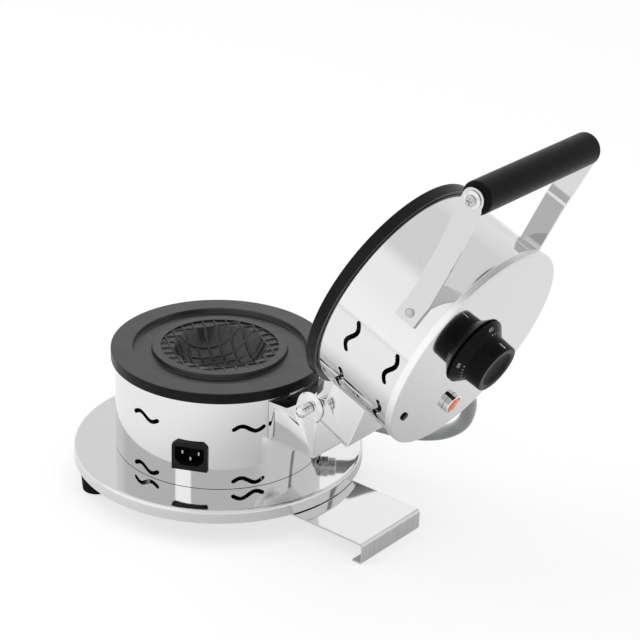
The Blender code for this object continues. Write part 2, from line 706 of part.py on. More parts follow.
def mould_plate(name, group, place):
    """A cast plate with its face at zero height, facing up before it is placed."""
    bottom = LEDGE_DEPTH + BOWL_DEPTH + BOWL_SHOULDER / 2 + BOWL_WALL
    shoulder = BOWL_RADIUS + BOWL_WALL
    profile = [
        (0, 0),
        (MOULD_RING_RADIUS, 0),
        (MOULD_RING_RADIUS + RECESS_DRAFT, -RECESS_DEPTH),
        (RECESS_RADIUS - RECESS_DRAFT, -RECESS_DEPTH),
        (RECESS_RADIUS, 0),
        (PLATE_RADIUS - PLATE_EDGE, 0),
        (PLATE_RADIUS, -PLATE_EDGE),
        (PLATE_RADIUS, -PLATE_THICKNESS),
        (shoulder, -PLATE_THICKNESS),
        (shoulder * BOWL_FLOOR_SHARE, -bottom),
        (0, -bottom),
    ]
    plate = revolved(name, profile, group, coated_plate(), PLATE_STEPS, place)
    boolean(plate, rib_tool(name + "_rib_tool", group, place))
    bm = bmesh.new()
    for angle in PLATE_SCREW_ANGLES:
        spot = on_circle(angle, FLANGE_SCREW_CIRCLE, -PLATE_THICKNESS - OVERRUN)
        hole = screw_hole(OVERRUN + PLATE_SCREW_BITE + CLEARANCE)
        add_revolved(bm, hole, SCREW_STEPS, place @ Matrix.Translation(spot))
    boolean(plate, finish(name + "_hole_tool", bm, group, None))


def plate_screws(name, group, place, seam):
    """Screws from inside a housing, through its flange, into the back of a plate."""
    seat = -PLATE_THICKNESS - seam - HOUSING_SHEET - CLEARANCE
    for number, angle in enumerate(PLATE_SCREW_ANGLES, 1):
        spot = Matrix.Translation(on_circle(angle, FLANGE_SCREW_CIRCLE, seat))
        length = PLATE_SCREW_BITE - PLATE_THICKNESS - seat
        revolved(f"{name}_{number}", screw_profile(length), group, brushed_steel(),
                 SCREW_STEPS, place @ spot)


def tube(name, route, radius, group, surface, sides):
    curve = bpy.data.curves.new(name, "CURVE")
    curve.dimensions = "3D"
    curve.bevel_depth = radius
    curve.bevel_resolution = sides
    curve.use_fill_caps = True
    spline = curve.splines.new("POLY")
    spline.points.add(len(route) - 1)
    for point, place in zip(spline.points, route):
        point.co = (*place, 1)
    curve.materials.append(surface)
    made = bpy.data.objects.new(name, curve)
    bpy.context.collection.objects.link(made)
    made.parent, made.location = group
    return made


def heater(name, group, place):
    level = -PLATE_THICKNESS - CLEARANCE - HEATER_TUBE_RADIUS
    spots = [on_circle(180 - HEATER_SWEEP / 2 + HEATER_SWEEP * i / (HEATER_POINTS - 1),
                       HEATER_CIRCLE_RADIUS, level) for i in range(HEATER_POINTS)]
    tube(name, [place @ spot for spot in spots], HEATER_TUBE_RADIUS, group, element_steel(), 1)


# Mains inlet

def inlet_place():
    """Turns a prism drawn in (sideways, up) and depth so that its depth points out of the drum."""
    frame = Matrix(((0, 0, 1, 0), (1, 0, 0, 0), (0, 1, 0, INLET_HEIGHT_ON_DRUM), (0, 0, 0, 1)))
    return Matrix.Rotation(math.radians(INLET_ANGLE), 4, "Z") @ frame


def inlet_outline(grow):
    half_w, half_h = INLET_WIDTH / 2 + grow, INLET_HEIGHT / 2 + grow
    return [(-half_w, -half_h), (half_w, -half_h), (half_w, half_h - INLET_CHAMFER),
            (half_w - INLET_CHAMFER, half_h), (INLET_CHAMFER - half_w, half_h),
            (-half_w, half_h - INLET_CHAMFER)]


def inlet(group):
    place = inlet_place()
    front = HOUSING_RADIUS + INLET_STANDOUT
    bm = bmesh.new()
    add_prism(bm, inlet_outline(0), front - INLET_DEPTH, front, place)
    body = finish("inlet_socket", bm, group, black_plastic(), False)
    half_w, half_h = SOCKET_WIDTH / 2, SOCKET_HEIGHT / 2
    recess = [(-half_w, half_h), (-half_w, SOCKET_CHAMFER - half_h), (SOCKET_CHAMFER - half_w, -half_h),
              (half_w - SOCKET_CHAMFER, -half_h), (half_w, SOCKET_CHAMFER - half_h), (half_w, half_h)]
    bm = bmesh.new()
    floor = front - SOCKET_DEPTH
    add_prism(bm, recess, floor, front + OVERRUN, place)
    boolean(body, finish("socket_tool", bm, group, None))
    half_t, half_p = INLET_PIN_THICKNESS / 2, INLET_PIN_HEIGHT / 2
    blade = [(-half_t, -half_p), (half_t, -half_p), (half_t, half_p), (-half_t, half_p)]
    rise = INLET_PIN_DROP / 2
    places = {"line": (-INLET_PIN_SPACING / 2, rise), "neutral": (INLET_PIN_SPACING / 2, rise),
              "earth": (0, -rise)}
    for name, (side, up) in places.items():
        bm = bmesh.new()
        add_prism(bm, [(a + side, b + up) for a, b in blade], floor + CLEARANCE,
                  front - INLET_PIN_RECESS, place)
        finish(f"inlet_pin_{name}", bm, group, brushed_steel(), False)


# Hinge brackets: a bent sheet and two cheeks with ears, in one piece

def bracket(name, group, up, half_width, ear_radius, front_clear):
    """Drawn from the hinge axis: up is 1 for the lid's bracket and -1 for the base's."""
    near, far = BRACKET_NEAR_FACE, BRACKET_FAR_FACE
    bend = BRACKET_BEND_RADIUS
    front = HOUSING_INSIDE / 2 - HINGE_X
    inner = bend - BRACKET_SHEET
    strip = [(front, near)]
    strip += arc(BRACKET_REAR - bend, near + bend, bend, -90, 0, CORNER_STEPS)
    strip += arc(BRACKET_REAR - bend, far - bend, bend, 0, 90, CORNER_STEPS)
    strip += [(front, far), (front, far - BRACKET_SHEET)]
    strip += arc(BRACKET_REAR - bend, far - bend, inner, 90, 0, CORNER_STEPS)
    strip += arc(BRACKET_REAR - bend, near + bend, inner, 0, -90, CORNER_STEPS)
    strip += [(front, near + BRACKET_SHEET)]
    middle = BRACKET_SHEET / 2
    cheek = [(front, near + middle), (-EAR_NECK_FRONT, near + middle)]
    cheek += ear_outline(near + middle, BRACKET_REAR - middle, bend - middle, ear_radius)
    cheek += arc(BRACKET_REAR - bend, far - bend, bend - middle, 0, 90, CORNER_STEPS)
    cheek += [(front, far - middle)]
    base = Matrix.Translation((HINGE_X, 0, 0 if up > 0 else HINGE_Z)) @ Matrix.Rotation(math.pi / 2, 4, "X")
    flip = Matrix.Diagonal((1, up, 1, 1))
    bm = bmesh.new()
    add_prism(bm, strip, -half_width, half_width, base @ flip)
    body = finish(name, bm, group, polished_steel())
    for side in (-1, 1):
        bm = bmesh.new()
        outer = half_width - CHEEK_INSET
        add_prism(bm, cheek, side * outer, side * (outer - BRACKET_SHEET), base @ flip)
        boolean(body, finish(f"{name}_cheek_{side}", bm, group, None), "UNION")
    bm = bmesh.new()
    hole = PIN_RADIUS + PIN_CLEARANCE
    reach = half_width + OVERRUN
    bore = [(0, -reach), (hole, -reach), (hole, reach), (0, reach)]
    centre = (HINGE_X, 0, 0 if up > 0 else HINGE_Z)
    add_revolved(bm, bore, PIN_STEPS, along_y(*centre))
    boolean(body, finish(name + "_bore", bm, group, None))
    bm = bmesh.new()
    add_revolved(bm, front_clear, ROUND_STEPS)
    boolean(body, finish(name + "_front", bm, group, None))


def ear_outline(near, rear, bend, radius):
    """The neck and round end of an ear, from its front foot round to the rear face of the box."""
    front_foot = Vector((-EAR_NECK_FRONT, near))
    lean = math.atan2(front_foot.y, front_foot.x) + math.acos(radius / front_foot.length)
    if radius > near:
        stop = math.acos(rear / radius)
        tail = []
    else:
        corner = Vector((rear - bend, near))
        stop = math.atan2(corner.y, corner.x) - math.acos(radius / corner.length)
        tail = arc(rear - bend, near + bend, bend, -90, 0, CORNER_STEPS)
    round_end = arc(0, 0, radius, math.degrees(lean), 360 + math.degrees(stop), 4 * CORNER_STEPS)
    return round_end + tail


def hinge_pin(group):
    reach = BRACKET_HALF_WIDTH + 2 * CLEARANCE + SPACER_LENGTH
    profile = [(0, -reach), (PIN_RADIUS, -reach), (PIN_RADIUS, reach), (0, reach)]
    revolved("hinge_pin", profile, group, brushed_steel(), PIN_STEPS, along_y(HINGE_X, 0, HINGE_Z))
    for side, name in ((-1, "near"), (1, "far")):
        start = BRACKET_HALF_WIDTH + CLEARANCE
        hole = PIN_RADIUS + CLEARANCE
        ring = SPACER_LENGTH / SPACER_RINGS
        profile = [(hole, 0)]
        for index in range(SPACER_RINGS):
            low = index * ring
            land = ring * SPACER_GROOVE_SHARE
            profile += [(SPACER_RADIUS - SPACER_GROOVE, low), (SPACER_RADIUS, low + land),
                        (SPACER_RADIUS, low + ring - land)]
        profile += [(SPACER_RADIUS - SPACER_GROOVE, SPACER_LENGTH), (hole, SPACER_LENGTH)]
        place = along_y(HINGE_X, side * start, HINGE_Z, side)
        revolved(f"hinge_spacer_{name}", profile, group, element_steel(), SMALL_STEPS, place)
        seat = start + SPACER_LENGTH + 2 * CLEARANCE
        flat = DOME_NUT_LENGTH * DOME_NUT_FLAT_SHARE
        dome = DOME_NUT_LENGTH - flat
        nut = [(0, 0), (DOME_NUT_RADIUS, 0), (DOME_NUT_RADIUS, flat)]
        nut += [(DOME_NUT_RADIUS * math.cos(t), flat + dome * math.sin(t))
                for t in map(math.radians, DOME_NUT_ANGLES)]
        nut += [(0, DOME_NUT_LENGTH)]
        place = along_y(HINGE_X, side * seat, HINGE_Z, side)
        revolved(f"hinge_nut_{name}", nut, group, brushed_steel(), SMALL_STEPS, place)


# Glands and conduit

def gland(name, group, height):
    start = HOUSING_INSIDE - GLAND_TAIL
    tip = HOUSING_RADIUS + GLAND_LENGTH
    place = outwards(GLAND_ANGLE, height)
    neck = [(0, start), (GLAND_NECK_RADIUS, start), (GLAND_NECK_RADIUS, tip), (0, tip)]
    body = revolved(name, neck, group, brushed_steel(), SMALL_STEPS, place)
    low = HOUSING_RADIUS + CLEARANCE
    hexagon = [(0, low), (GLAND_HEX_RADIUS, low), (GLAND_HEX_RADIUS, low + GLAND_HEX_LENGTH),
               (0, low + GLAND_HEX_LENGTH)]
    bm = bmesh.new()
    add_revolved(bm, hexagon, 6, place)
    boolean(body, finish(name + "_hexagon", bm, group, None), "UNION")


def opened(point):
    """Where a point of the closed lid lies once the lid stands open, in the base's drawing."""
    x, z = point.x - HINGE_X, point.z
    return Vector((HINGE_X + x * math.cos(OPEN_TURN) + z * math.sin(OPEN_TURN), point.y,
                   HINGE_Z - x * math.sin(OPEN_TURN) + z * math.cos(OPEN_TURN)))


def smooth_route(points, steps):
    """A Catmull-Rom curve through the points, which starts and ends on its first and last."""
    padded = [2 * points[0] - points[1]] + points + [2 * points[-1] - points[-2]]
    route = []
    for a, b, c, d in zip(padded, padded[1:], padded[2:], padded[3:]):
        for i in range(steps):
            t = i / steps
            route.append((2 * b + (c - a) * t + (2 * a - 5 * b + 4 * c - d) * t ** 2
                          + (3 * b - a - 3 * c + d) * t ** 3) / 2)
    return route + [points[-1]]


def conduit(group):
    tip = HOUSING_RADIUS + GLAND_LENGTH + CLEARANCE
    reach = tip + 2 * CONDUIT_RADIUS
    start = [on_circle(GLAND_ANGLE, radius, LOWER_GLAND_HEIGHT) for radius in (tip, reach)]
    end = [opened(on_circle(GLAND_ANGLE, radius, UPPER_GLAND_HEIGHT)) for radius in (reach, tip)]
    bends = [Vector((HINGE_X + x, y, z)) for x, y, z in CONDUIT_ROUTE]
    curved = smooth_route([start[1]] + bends + [end[0]], CONDUIT_STEPS_PER_SPAN)
    tube("conduit", [start[0]] + curved + [end[1]], CONDUIT_RADIUS, group, grey_sleeve(), 2)


# Cap, lamp and plug

def top_cap(group):
    profile = [(0, CAP_TOP)]
    profile += arc(CAP_RADIUS - CAP_EDGE_RADIUS, CAP_TOP - CAP_EDGE_RADIUS, CAP_EDGE_RADIUS, 90, 0, 2)
    profile += [
        (CAP_RADIUS, CAP_TOP - CAP_SKIRT),
        (CAP_RADIUS - CAP_SHEET, CAP_TOP - CAP_SKIRT),
        (CAP_RADIUS - CAP_SHEET, CAP_UNDERSIDE),
        (0, CAP_UNDERSIDE),
    ]
    cap = revolved("top_cap", profile, group, polished_steel())
    plug_x, plug_y, _ = on_circle(PLUG_ANGLE, CAP_RADIUS - PLUG_INSET)
    holes = ((0, 0, SHAFT_RADIUS), (LAMP_X, LAMP_Y, LAMP_NECK_RADIUS), (plug_x, plug_y, PLUG_STEM_RADIUS))
    bm = bmesh.new()
    for x, y, radius in holes:
        hole = screw_hole(CAP_SHEET + 2 * OVERRUN, radius)
        add_revolved(bm, hole, SMALL_STEPS, Matrix.Translation((x, y, CAP_UNDERSIDE - OVERRUN)))
    boolean(cap, finish("cap_hole_tool", bm, group, None))


def lamp(group):
    place = Matrix.Translation((LAMP_X, LAMP_Y, CAP_TOP))
    inside = LAMP_LENS_RADIUS + CLEARANCE
    edge = LAMP_CROWN
    bezel = [
        (inside, -LAMP_DEPTH + edge),
        (LAMP_NECK_RADIUS, -LAMP_DEPTH + edge),
        (LAMP_NECK_RADIUS, CLEARANCE),
        (LAMP_BEZEL_RADIUS, CLEARANCE),
        (LAMP_BEZEL_RADIUS, LAMP_HEIGHT - edge),
        (LAMP_BEZEL_RADIUS - edge, LAMP_HEIGHT),
        (inside, LAMP_HEIGHT),
    ]
    revolved("lamp_bezel", bezel, group, polished_steel(), 2 * SCREW_STEPS, place)
    lens = [
        (0, -LAMP_DEPTH),
        (LAMP_LENS_RADIUS, -LAMP_DEPTH),
        (LAMP_LENS_RADIUS, LAMP_HEIGHT - edge),
        (LAMP_LENS_RADIUS - edge, LAMP_HEIGHT),
        (0, LAMP_HEIGHT + edge),
    ]
    revolved("lamp_lens", lens, group, orange_lens(), 2 * SCREW_STEPS, place)


def cap_plug(group):
    profile = [
        (0, -PLUG_DEPTH),
        (PLUG_STEM_RADIUS, -PLUG_DEPTH),
        (PLUG_STEM_RADIUS, CLEARANCE),
        (PLUG_RADIUS, CLEARANCE),
        (PLUG_RADIUS, PLUG_HEIGHT / 2),
        (PLUG_STEM_RADIUS, PLUG_HEIGHT),
        (0, PLUG_HEIGHT),
    ]
    revolved("cap_plug", profile, group, black_plastic(), SMALL_STEPS,
             Matrix.Translation(on_circle(PLUG_ANGLE, CAP_RADIUS - PLUG_INSET, CAP_TOP)))


# Handle

def arm_route():
    """The middle line of an arm seen from above, from its tab on the drum to its end past the grip,
    with the share of the bar's full width that each point has."""
    radius = HOUSING_RADIUS + CLEARANCE + ARM_SHEET / 2
    route = []
    for i in range(ARM_TAB_STEPS + 1):
        angle = ARM_TAB_START_ANGLE + (ARM_TAB_END_ANGLE - ARM_TAB_START_ANGLE) * i / ARM_TAB_STEPS
        route.append(on_circle(angle, radius / math.cos(math.radians(
            (ARM_TAB_END_ANGLE - ARM_TAB_START_ANGLE) / ARM_TAB_STEPS / 2))).to_2d())
    route += [Vector((ARM_KINK_X, ARM_KINK_Y)), Vector((ARM_FLAT_START_X, ARM_SIDE))]
    route = [(point, 1) for point in route]
    half = ARM_WIDTH / 2
    for i in range(ARM_END_STEPS):
        turn = math.pi / 2 * i / ARM_END_STEPS
        route.append((Vector((GRIP_X - half * math.sin(turn), ARM_SIDE)), math.cos(turn)))
    return route + [(Vector((GRIP_X - half, ARM_SIDE)), 0)]


def handle_arm(name, side, group):
    """A flat bar, bent along its route and rounded at its end, which rises towards the grip."""
    route, width_shares = zip(*arm_route())
    tab_end, flat_start = route[ARM_TAB_STEPS].x, ARM_FLAT_START_X
    bm = bmesh.new()
    rows = []
    for i, point in enumerate(route):
        before = (point - route[i - 1]).normalized() if i else (route[1] - point).normalized()
        after = (route[i + 1] - point).normalized() if i < len(route) - 1 else before
        run = (before + after).normalized()
        across = Vector((run.y, -run.x)) * ARM_SHEET / 2 / max(ARM_MITRE_LIMIT, run.dot(before))
        climb = min(1, max(0, (tab_end - point.x) / (tab_end - flat_start)))
        middle = ARM_FOOT_Z + (GRIP_Z - ARM_FOOT_Z) * climb
        width = width_shares[i] * ARM_WIDTH / 2
        row = []
        for offset, rise in ((1, 1), (-1, 1), (-1, -1), (1, -1)):
            spot = point + across * offset
            row.append(bm.verts.new((spot.x, side * spot.y, middle + rise * width)))
        rows.append(row)
    for first, second in zip(rows, rows[1:]):
        for i in range(4):
            j = (i + 1) % 4
            bm.faces.new((first[i], first[j], second[j], second[i]))
    bm.faces.new(rows[0])
    arm = finish(name, bm, group, polished_steel())
    bm = bmesh.new()
    start = GRIP_HALF_LENGTH - OVERRUN
    hole = screw_hole(ARM_SHEET + 2 * OVERRUN, HANDLE_SCREW_RADIUS)
    add_revolved(bm, hole, SCREW_STEPS, along_y(GRIP_X, side * start, GRIP_Z, side))
    hole = screw_hole(ARM_SHEET + 2 * OVERRUN, RIVET_RADIUS)
    add_revolved(bm, hole, SCREW_STEPS,
                 outwards(side * RIVET_ANGLE, ARM_FOOT_Z, HOUSING_RADIUS + CLEARANCE - OVERRUN))
    boolean(arm, finish(name + "_hole_tool", bm, group, None))


def arm_rivet(name, side, group):
    seat = HOUSING_RADIUS + ARM_SHEET + 3 * CLEARANCE
    tail = HOUSING_INSIDE - RIVET_TAIL
    profile = [
        (0, tail),
        (RIVET_RADIUS, tail),
        (RIVET_RADIUS, seat),
        (RIVET_HEAD_RADIUS, seat),
        (RIVET_HEAD_RADIUS * HEAD_CROWN_SHARE, seat + RIVET_HEAD_HEIGHT * RIVET_CROWN_SHARE),
        (0, seat + RIVET_HEAD_HEIGHT),
    ]
    revolved(name, profile, group, brushed_steel(), SCREW_STEPS,
             outwards(side * RIVET_ANGLE, ARM_FOOT_Z))


def grip(group):
    end = GRIP_HALF_LENGTH
    bore = ROD_RADIUS + CLEARANCE
    corner = GRIP_END_RADIUS
    profile = [(bore, -end)]
    profile += arc(GRIP_RADIUS - corner, corner - end, corner, -90, 0, CORNER_STEPS)
    profile += arc(GRIP_RADIUS - corner, end - corner, corner, 0, 90, CORNER_STEPS)
    profile += [(bore, end)]
    revolved("handle_grip", profile, group, black_plastic(), GRIP_STEPS, along_y(GRIP_X, 0, GRIP_Z))
    rod = [(0, -ROD_HALF_LENGTH), (ROD_RADIUS, -ROD_HALF_LENGTH), (ROD_RADIUS, ROD_HALF_LENGTH),
           (0, ROD_HALF_LENGTH)]
    revolved("handle_rod", rod, group, brushed_steel(), SMALL_STEPS, along_y(GRIP_X, 0, GRIP_Z))


def handle_fixing(name, side, group):
    washer_seat = ARM_OUTER_FACE + CLEARANCE
    hole = HANDLE_SCREW_RADIUS + CLEARANCE
    washer = [
        (hole, 0),
        (CUP_WASHER_RADIUS, 0),
        (CUP_WASHER_RADIUS, CUP_WASHER_RIM),
        (HANDLE_SCREW_HEAD_RADIUS, CUP_WASHER_HEIGHT),
        (hole, CUP_WASHER_HEIGHT),
    ]
    revolved(f"handle_washer_{name}", washer, group, brushed_steel(), 2 * SCREW_STEPS,
             along_y(GRIP_X, side * washer_seat, GRIP_Z, side))
    head_seat = washer_seat + CUP_WASHER_HEIGHT + CLEARANCE
    tip = ROD_HALF_LENGTH + CLEARANCE - head_seat
    screw = [
        (0, tip),
        (HANDLE_SCREW_RADIUS, tip),
        (HANDLE_SCREW_RADIUS, 0),
        (HANDLE_SCREW_HEAD_RADIUS, 0),
        (HANDLE_SCREW_HEAD_RADIUS, HANDLE_SCREW_HEAD_HEIGHT * HANDLE_SCREW_RIM_SHARE),
        (HANDLE_SCREW_HEAD_RADIUS * HANDLE_SCREW_CROWN_SHARE, HANDLE_SCREW_HEAD_HEIGHT),
        (0, HANDLE_SCREW_HEAD_HEIGHT),
    ]
    revolved(f"handle_screw_{name}", screw, group, brushed_steel(), SCREW_STEPS,
             along_y(GRIP_X, side * head_seat, GRIP_Z, side))


# Thermostat and knob

def thermostat(group):
    top = CAP_UNDERSIDE - CLEARANCE
    bore = SHAFT_RADIUS + CLEARANCE
    pocket = CAP_UNDERSIDE - SHAFT_LENGTH_IN_BODY - CLEARANCE
    profile = [
        (0, top - THERMOSTAT_HEIGHT),
        (THERMOSTAT_RADIUS, top - THERMOSTAT_HEIGHT),
        (THERMOSTAT_RADIUS, top),
        (bore, top),
        (bore, pocket),
        (0, pocket),
    ]
    revolved("thermostat_body", profile, group, brushed_steel(), 2 * SCREW_STEPS)


def knob(group):
    """Drawn from the centre of the cap's face, where its pivot is."""
    crown = KNOB_HEIGHT - KNOB_DISH_DEPTH
    skirt_top = KNOB_SKIRT_HEIGHT
    inside = KNOB_HEIGHT - KNOB_CROWN_WALL
    bore = SHAFT_RADIUS + CLEARANCE
    profile = [
        (0, crown),
        (KNOB_DISH_RADIUS - KNOB_DISH_DEPTH, crown),
        (KNOB_DISH_RADIUS, KNOB_HEIGHT),
        (KNOB_TIP_RADIUS - KNOB_EDGE, KNOB_HEIGHT),
        (KNOB_TIP_RADIUS, KNOB_HEIGHT - KNOB_EDGE),
        (KNOB_RADIUS, skirt_top),
        (KNOB_SKIRT_RADIUS, KNOB_LIFT + KNOB_SKIRT_EDGE),
        (KNOB_SKIRT_RADIUS, KNOB_LIFT),
        (KNOB_SKIRT_RADIUS - KNOB_WALL, KNOB_LIFT),
        (KNOB_RADIUS - KNOB_WALL, skirt_top - KNOB_WALL),
        (KNOB_TIP_RADIUS - KNOB_WALL, inside),
        (KNOB_HUB_RADIUS, inside),
        (KNOB_HUB_RADIUS, KNOB_LIFT + KNOB_HUB_SHORTFALL),
        (bore, KNOB_LIFT + KNOB_HUB_SHORTFALL),
        (bore, SHAFT_LENGTH_IN_KNOB + CLEARANCE),
        (0, SHAFT_LENGTH_IN_KNOB + CLEARANCE),
    ]
    revolved("knob", profile, group, black_plastic(), 4 * SCREW_STEPS)
    low = -CAP_SHEET - SHAFT_LENGTH_IN_BODY
    shaft = [(0, low), (SHAFT_RADIUS, low), (SHAFT_RADIUS, SHAFT_LENGTH_IN_KNOB),
             (0, SHAFT_LENGTH_IN_KNOB)]
    revolved("thermostat_shaft", shaft, group, brushed_steel(), SMALL_STEPS)


def build():
    clear_scene()
    base_pivot = empty("base_frame", None, (CENTRING_SHIFT, 0, 0))
    lid_pivot = empty("lid_pivot", base_pivot, (HINGE_X, 0, HINGE_Z), OPEN_TURN)
    knob_pivot = empty("knob_pivot", lid_pivot, (-HINGE_X, 0, CAP_TOP))
    base = (base_pivot, (0, 0, 0))
    lid = (lid_pivot, (-HINGE_X, 0, 0))
    turning = (knob_pivot, (0, 0, 0))

    base_disc(base)
    for side in FOOT_ANGLES:
        foot(side, base)
    rear_stand(base)
    base_screws(base)
    lower_housing(base)
    face_up = Matrix.Translation((0, 0, LOWER_PLATE_TOP))
    mould_plate("lower_plate", base, face_up)
    plate_screws("lower_plate_screw", base, face_up, CLEARANCE)
    heater("lower_heater", base, face_up)
    inlet(base)
    below_housing = HOUSING_RADIUS + CLEARANCE
    drum_clear = [(0, 0), (below_housing, 0), (below_housing, LOWER_PLATE_TOP), (0, LOWER_PLATE_TOP)]
    bracket("lower_bracket", base, -1, BRACKET_HALF_WIDTH, EAR_RADIUS, drum_clear)
    hinge_pin(base)
    gland("lower_gland", base, LOWER_GLAND_HEIGHT)
    conduit(base)

    upper_housing(lid)
    top_cap(lid)
    face_down = Matrix.Translation((0, 0, UPPER_PLATE_FACE)) @ Matrix.Rotation(math.pi, 4, "X")
    mould_plate("upper_plate", lid, face_down)
    plate_screws("upper_plate_screw", lid, face_down, UPPER_SEAM)
    heater("upper_heater", lid, face_down)
    beside_plate = PLATE_RADIUS + CLEARANCE
    lid_clear = [(0, -OVERRUN), (beside_plate, -OVERRUN), (beside_plate, UPPER_PLATE_BACK + CLEARANCE),
                 (below_housing, UPPER_PLATE_BACK + CLEARANCE), (below_housing, CAP_TOP), (0, CAP_TOP)]
    inner_half_width = BRACKET_HALF_WIDTH - CHEEK_INSET - BRACKET_SHEET - CLEARANCE
    bracket("upper_bracket", lid, 1, inner_half_width, INNER_EAR_RADIUS, lid_clear)
    for side, name in ((-1, "near"), (1, "far")):
        handle_arm(f"handle_arm_{name}", side, lid)
        arm_rivet(f"arm_rivet_{name}", side, lid)
        handle_fixing(name, side, lid)
    grip(lid)
    lamp(lid)
    cap_plug(lid)
    gland("upper_gland", lid, UPPER_GLAND_HEIGHT)
    thermostat(lid)
    knob(turning)


build()
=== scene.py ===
import math

import bmesh
import bpy
from mathutils import Matrix, Vector


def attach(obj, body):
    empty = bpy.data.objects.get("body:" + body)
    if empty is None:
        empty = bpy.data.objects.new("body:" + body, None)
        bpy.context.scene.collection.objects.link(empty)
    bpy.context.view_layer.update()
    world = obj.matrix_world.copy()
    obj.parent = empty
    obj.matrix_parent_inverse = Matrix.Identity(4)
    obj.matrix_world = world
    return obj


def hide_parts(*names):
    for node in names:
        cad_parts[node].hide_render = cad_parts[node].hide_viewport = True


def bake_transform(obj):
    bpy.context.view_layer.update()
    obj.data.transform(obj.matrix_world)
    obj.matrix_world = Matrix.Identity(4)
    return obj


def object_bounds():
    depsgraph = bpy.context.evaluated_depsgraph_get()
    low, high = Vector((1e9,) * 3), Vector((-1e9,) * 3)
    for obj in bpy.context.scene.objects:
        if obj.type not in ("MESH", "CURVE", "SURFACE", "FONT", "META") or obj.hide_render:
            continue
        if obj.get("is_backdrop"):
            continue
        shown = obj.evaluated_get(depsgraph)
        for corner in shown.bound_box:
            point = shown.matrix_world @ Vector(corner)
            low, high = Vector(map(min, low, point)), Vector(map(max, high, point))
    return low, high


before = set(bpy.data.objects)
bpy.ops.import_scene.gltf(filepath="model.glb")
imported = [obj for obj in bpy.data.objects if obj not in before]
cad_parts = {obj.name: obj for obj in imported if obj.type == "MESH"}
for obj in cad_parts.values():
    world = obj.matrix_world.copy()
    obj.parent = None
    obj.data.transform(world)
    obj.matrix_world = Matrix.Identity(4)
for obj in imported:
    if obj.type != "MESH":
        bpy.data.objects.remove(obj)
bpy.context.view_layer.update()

# Base disc
# A pan of mirror-polished stainless sheet, spun with its rim turned down, that carries the drum.
# A boss is welded under it above each rubber foot.
DISC_RADIUS, DISC_TOP, DISC_SHEET = 0.1233, 0.0306, 0.001
DISC_RIM, DISC_BEND, SHEET_EDGE = 0.0114, 0.0030, 0.0003
FOOT_CIRCLE = 0.1078
FOOT_TURNS = {"near": -120, "far": 120}
FIT = 0.0003
UNDER_DISC = DISC_TOP - DISC_SHEET - FIT
LARGE_ROUND = 240
shifted = Matrix.Translation
BASE = shifted((-0.0915748, 0, 0))


def fill(made, inputs):
    """Gives each input of a node its value, or a link from another node's socket."""
    for key, value in inputs.items():
        if isinstance(value, bpy.types.NodeSocket):
            made.id_data.links.new(value, made.inputs[key])
        else:
            made.inputs[key].default_value = value
    return made


def fed(kind, inputs, output=0, **settings):
    """Adds a node beside the first socket that feeds it, and gives back one of its outputs."""
    tree = next(value.id_data for value in inputs.values() if isinstance(value, bpy.types.NodeSocket))
    made = tree.nodes.new(kind)
    for key, value in settings.items():
        setattr(made, key, value)
    return fill(made, inputs).outputs[output]


def calc(operation, *values):
    return fed("ShaderNodeMath", dict(enumerate(values)), operation=operation)


def mix(factor, a, b, kind="RGBA"):
    return fed("ShaderNodeMix", {"Factor": factor, "A": a, "B": b}, "Result", data_type=kind)


def noise(where, scale, detail=2, rough=0.5, stretch=None):
    """A noise on the piece's own coordinates in metres, stretched along an axis if asked."""
    if stretch is not None:
        where = fed("ShaderNodeMapping", {"Vector": where, "Scale": stretch})
    return fed("ShaderNodeTexNoise", {"Vector": where, "Scale": scale, "Detail": detail,
                                      "Roughness": rough}, "Fac")


def ramp(factor, *stops):
    """A ramp of greys or colours, each with its place."""
    made = factor.id_data.nodes.new("ShaderNodeValToRGB")
    while len(made.color_ramp.elements) < len(stops):
        made.color_ramp.elements.new(0.5)
    for element, (place, colour) in zip(made.color_ramp.elements, stops):
        element.position = place
        element.color = (*colour, 1) if isinstance(colour, tuple) else (colour, colour, colour, 1)
    return fill(made, {"Fac": factor}).outputs["Color"]


def clouded(where, low, high, scale, detail=2, rough=0.5):
    """Soft patches between two greys or colours."""
    return ramp(noise(where, scale, detail, rough), (0.3, low), (0.7, high))


def bump(height, depth, **before):
    return fed("ShaderNodeBump", {"Height": height, "Distance": depth, **before})


def surface(name):
    """An empty material, its Principled shader and the socket that its patterns read."""
    made = bpy.data.materials.new(name)
    made.use_nodes = True
    where = made.node_tree.nodes.new("ShaderNodeTexCoord").outputs["Object"]
    return made, made.node_tree.nodes["Principled BSDF"], where


def polished_sheet(name="polished stainless sheet", waviness=0.00016, colour=0.80):
    """Mirror-polished stainless: slow waves of the sheet, wiping haze, polishing lines and fine dust."""
    made, shader, where = surface(name)
    specks = ramp(noise(where, 850, 1), (0.79, 0.0), (0.83, 1.0))
    clean, dusty = (colour, colour, colour * 1.002, 1), (0.42, 0.42, 0.42, 1)
    waves = bump(noise(where, 17, 1), waviness)
    fill(shader, {"Metallic": 1, "Base Color": mix(specks, clean, dusty),
                  "Roughness": calc("MULTIPLY_ADD", noise(where, 14, 4, 0.6), 0.075, 0.022),
                  "Normal": bump(noise(where, 60, 2, 0.5, (1, 1, 26)), 0.0000004, Normal=waves)})
    return made


def supported(points, gap=0.0003):
    """Adds a point close to both ends of each long stretch, so that flat faces reflect flat."""
    path = [points[0]]
    for (a, b), (c, d) in zip(points, points[1:]):
        run = math.hypot(c - a, d - b)
        if run > 4 * gap:
            t = gap / run
            path += [(a + (c - a) * t, b + (d - b) * t), (c - (c - a) * t, d - (d - b) * t)]
        path.append((c, d))
    return path


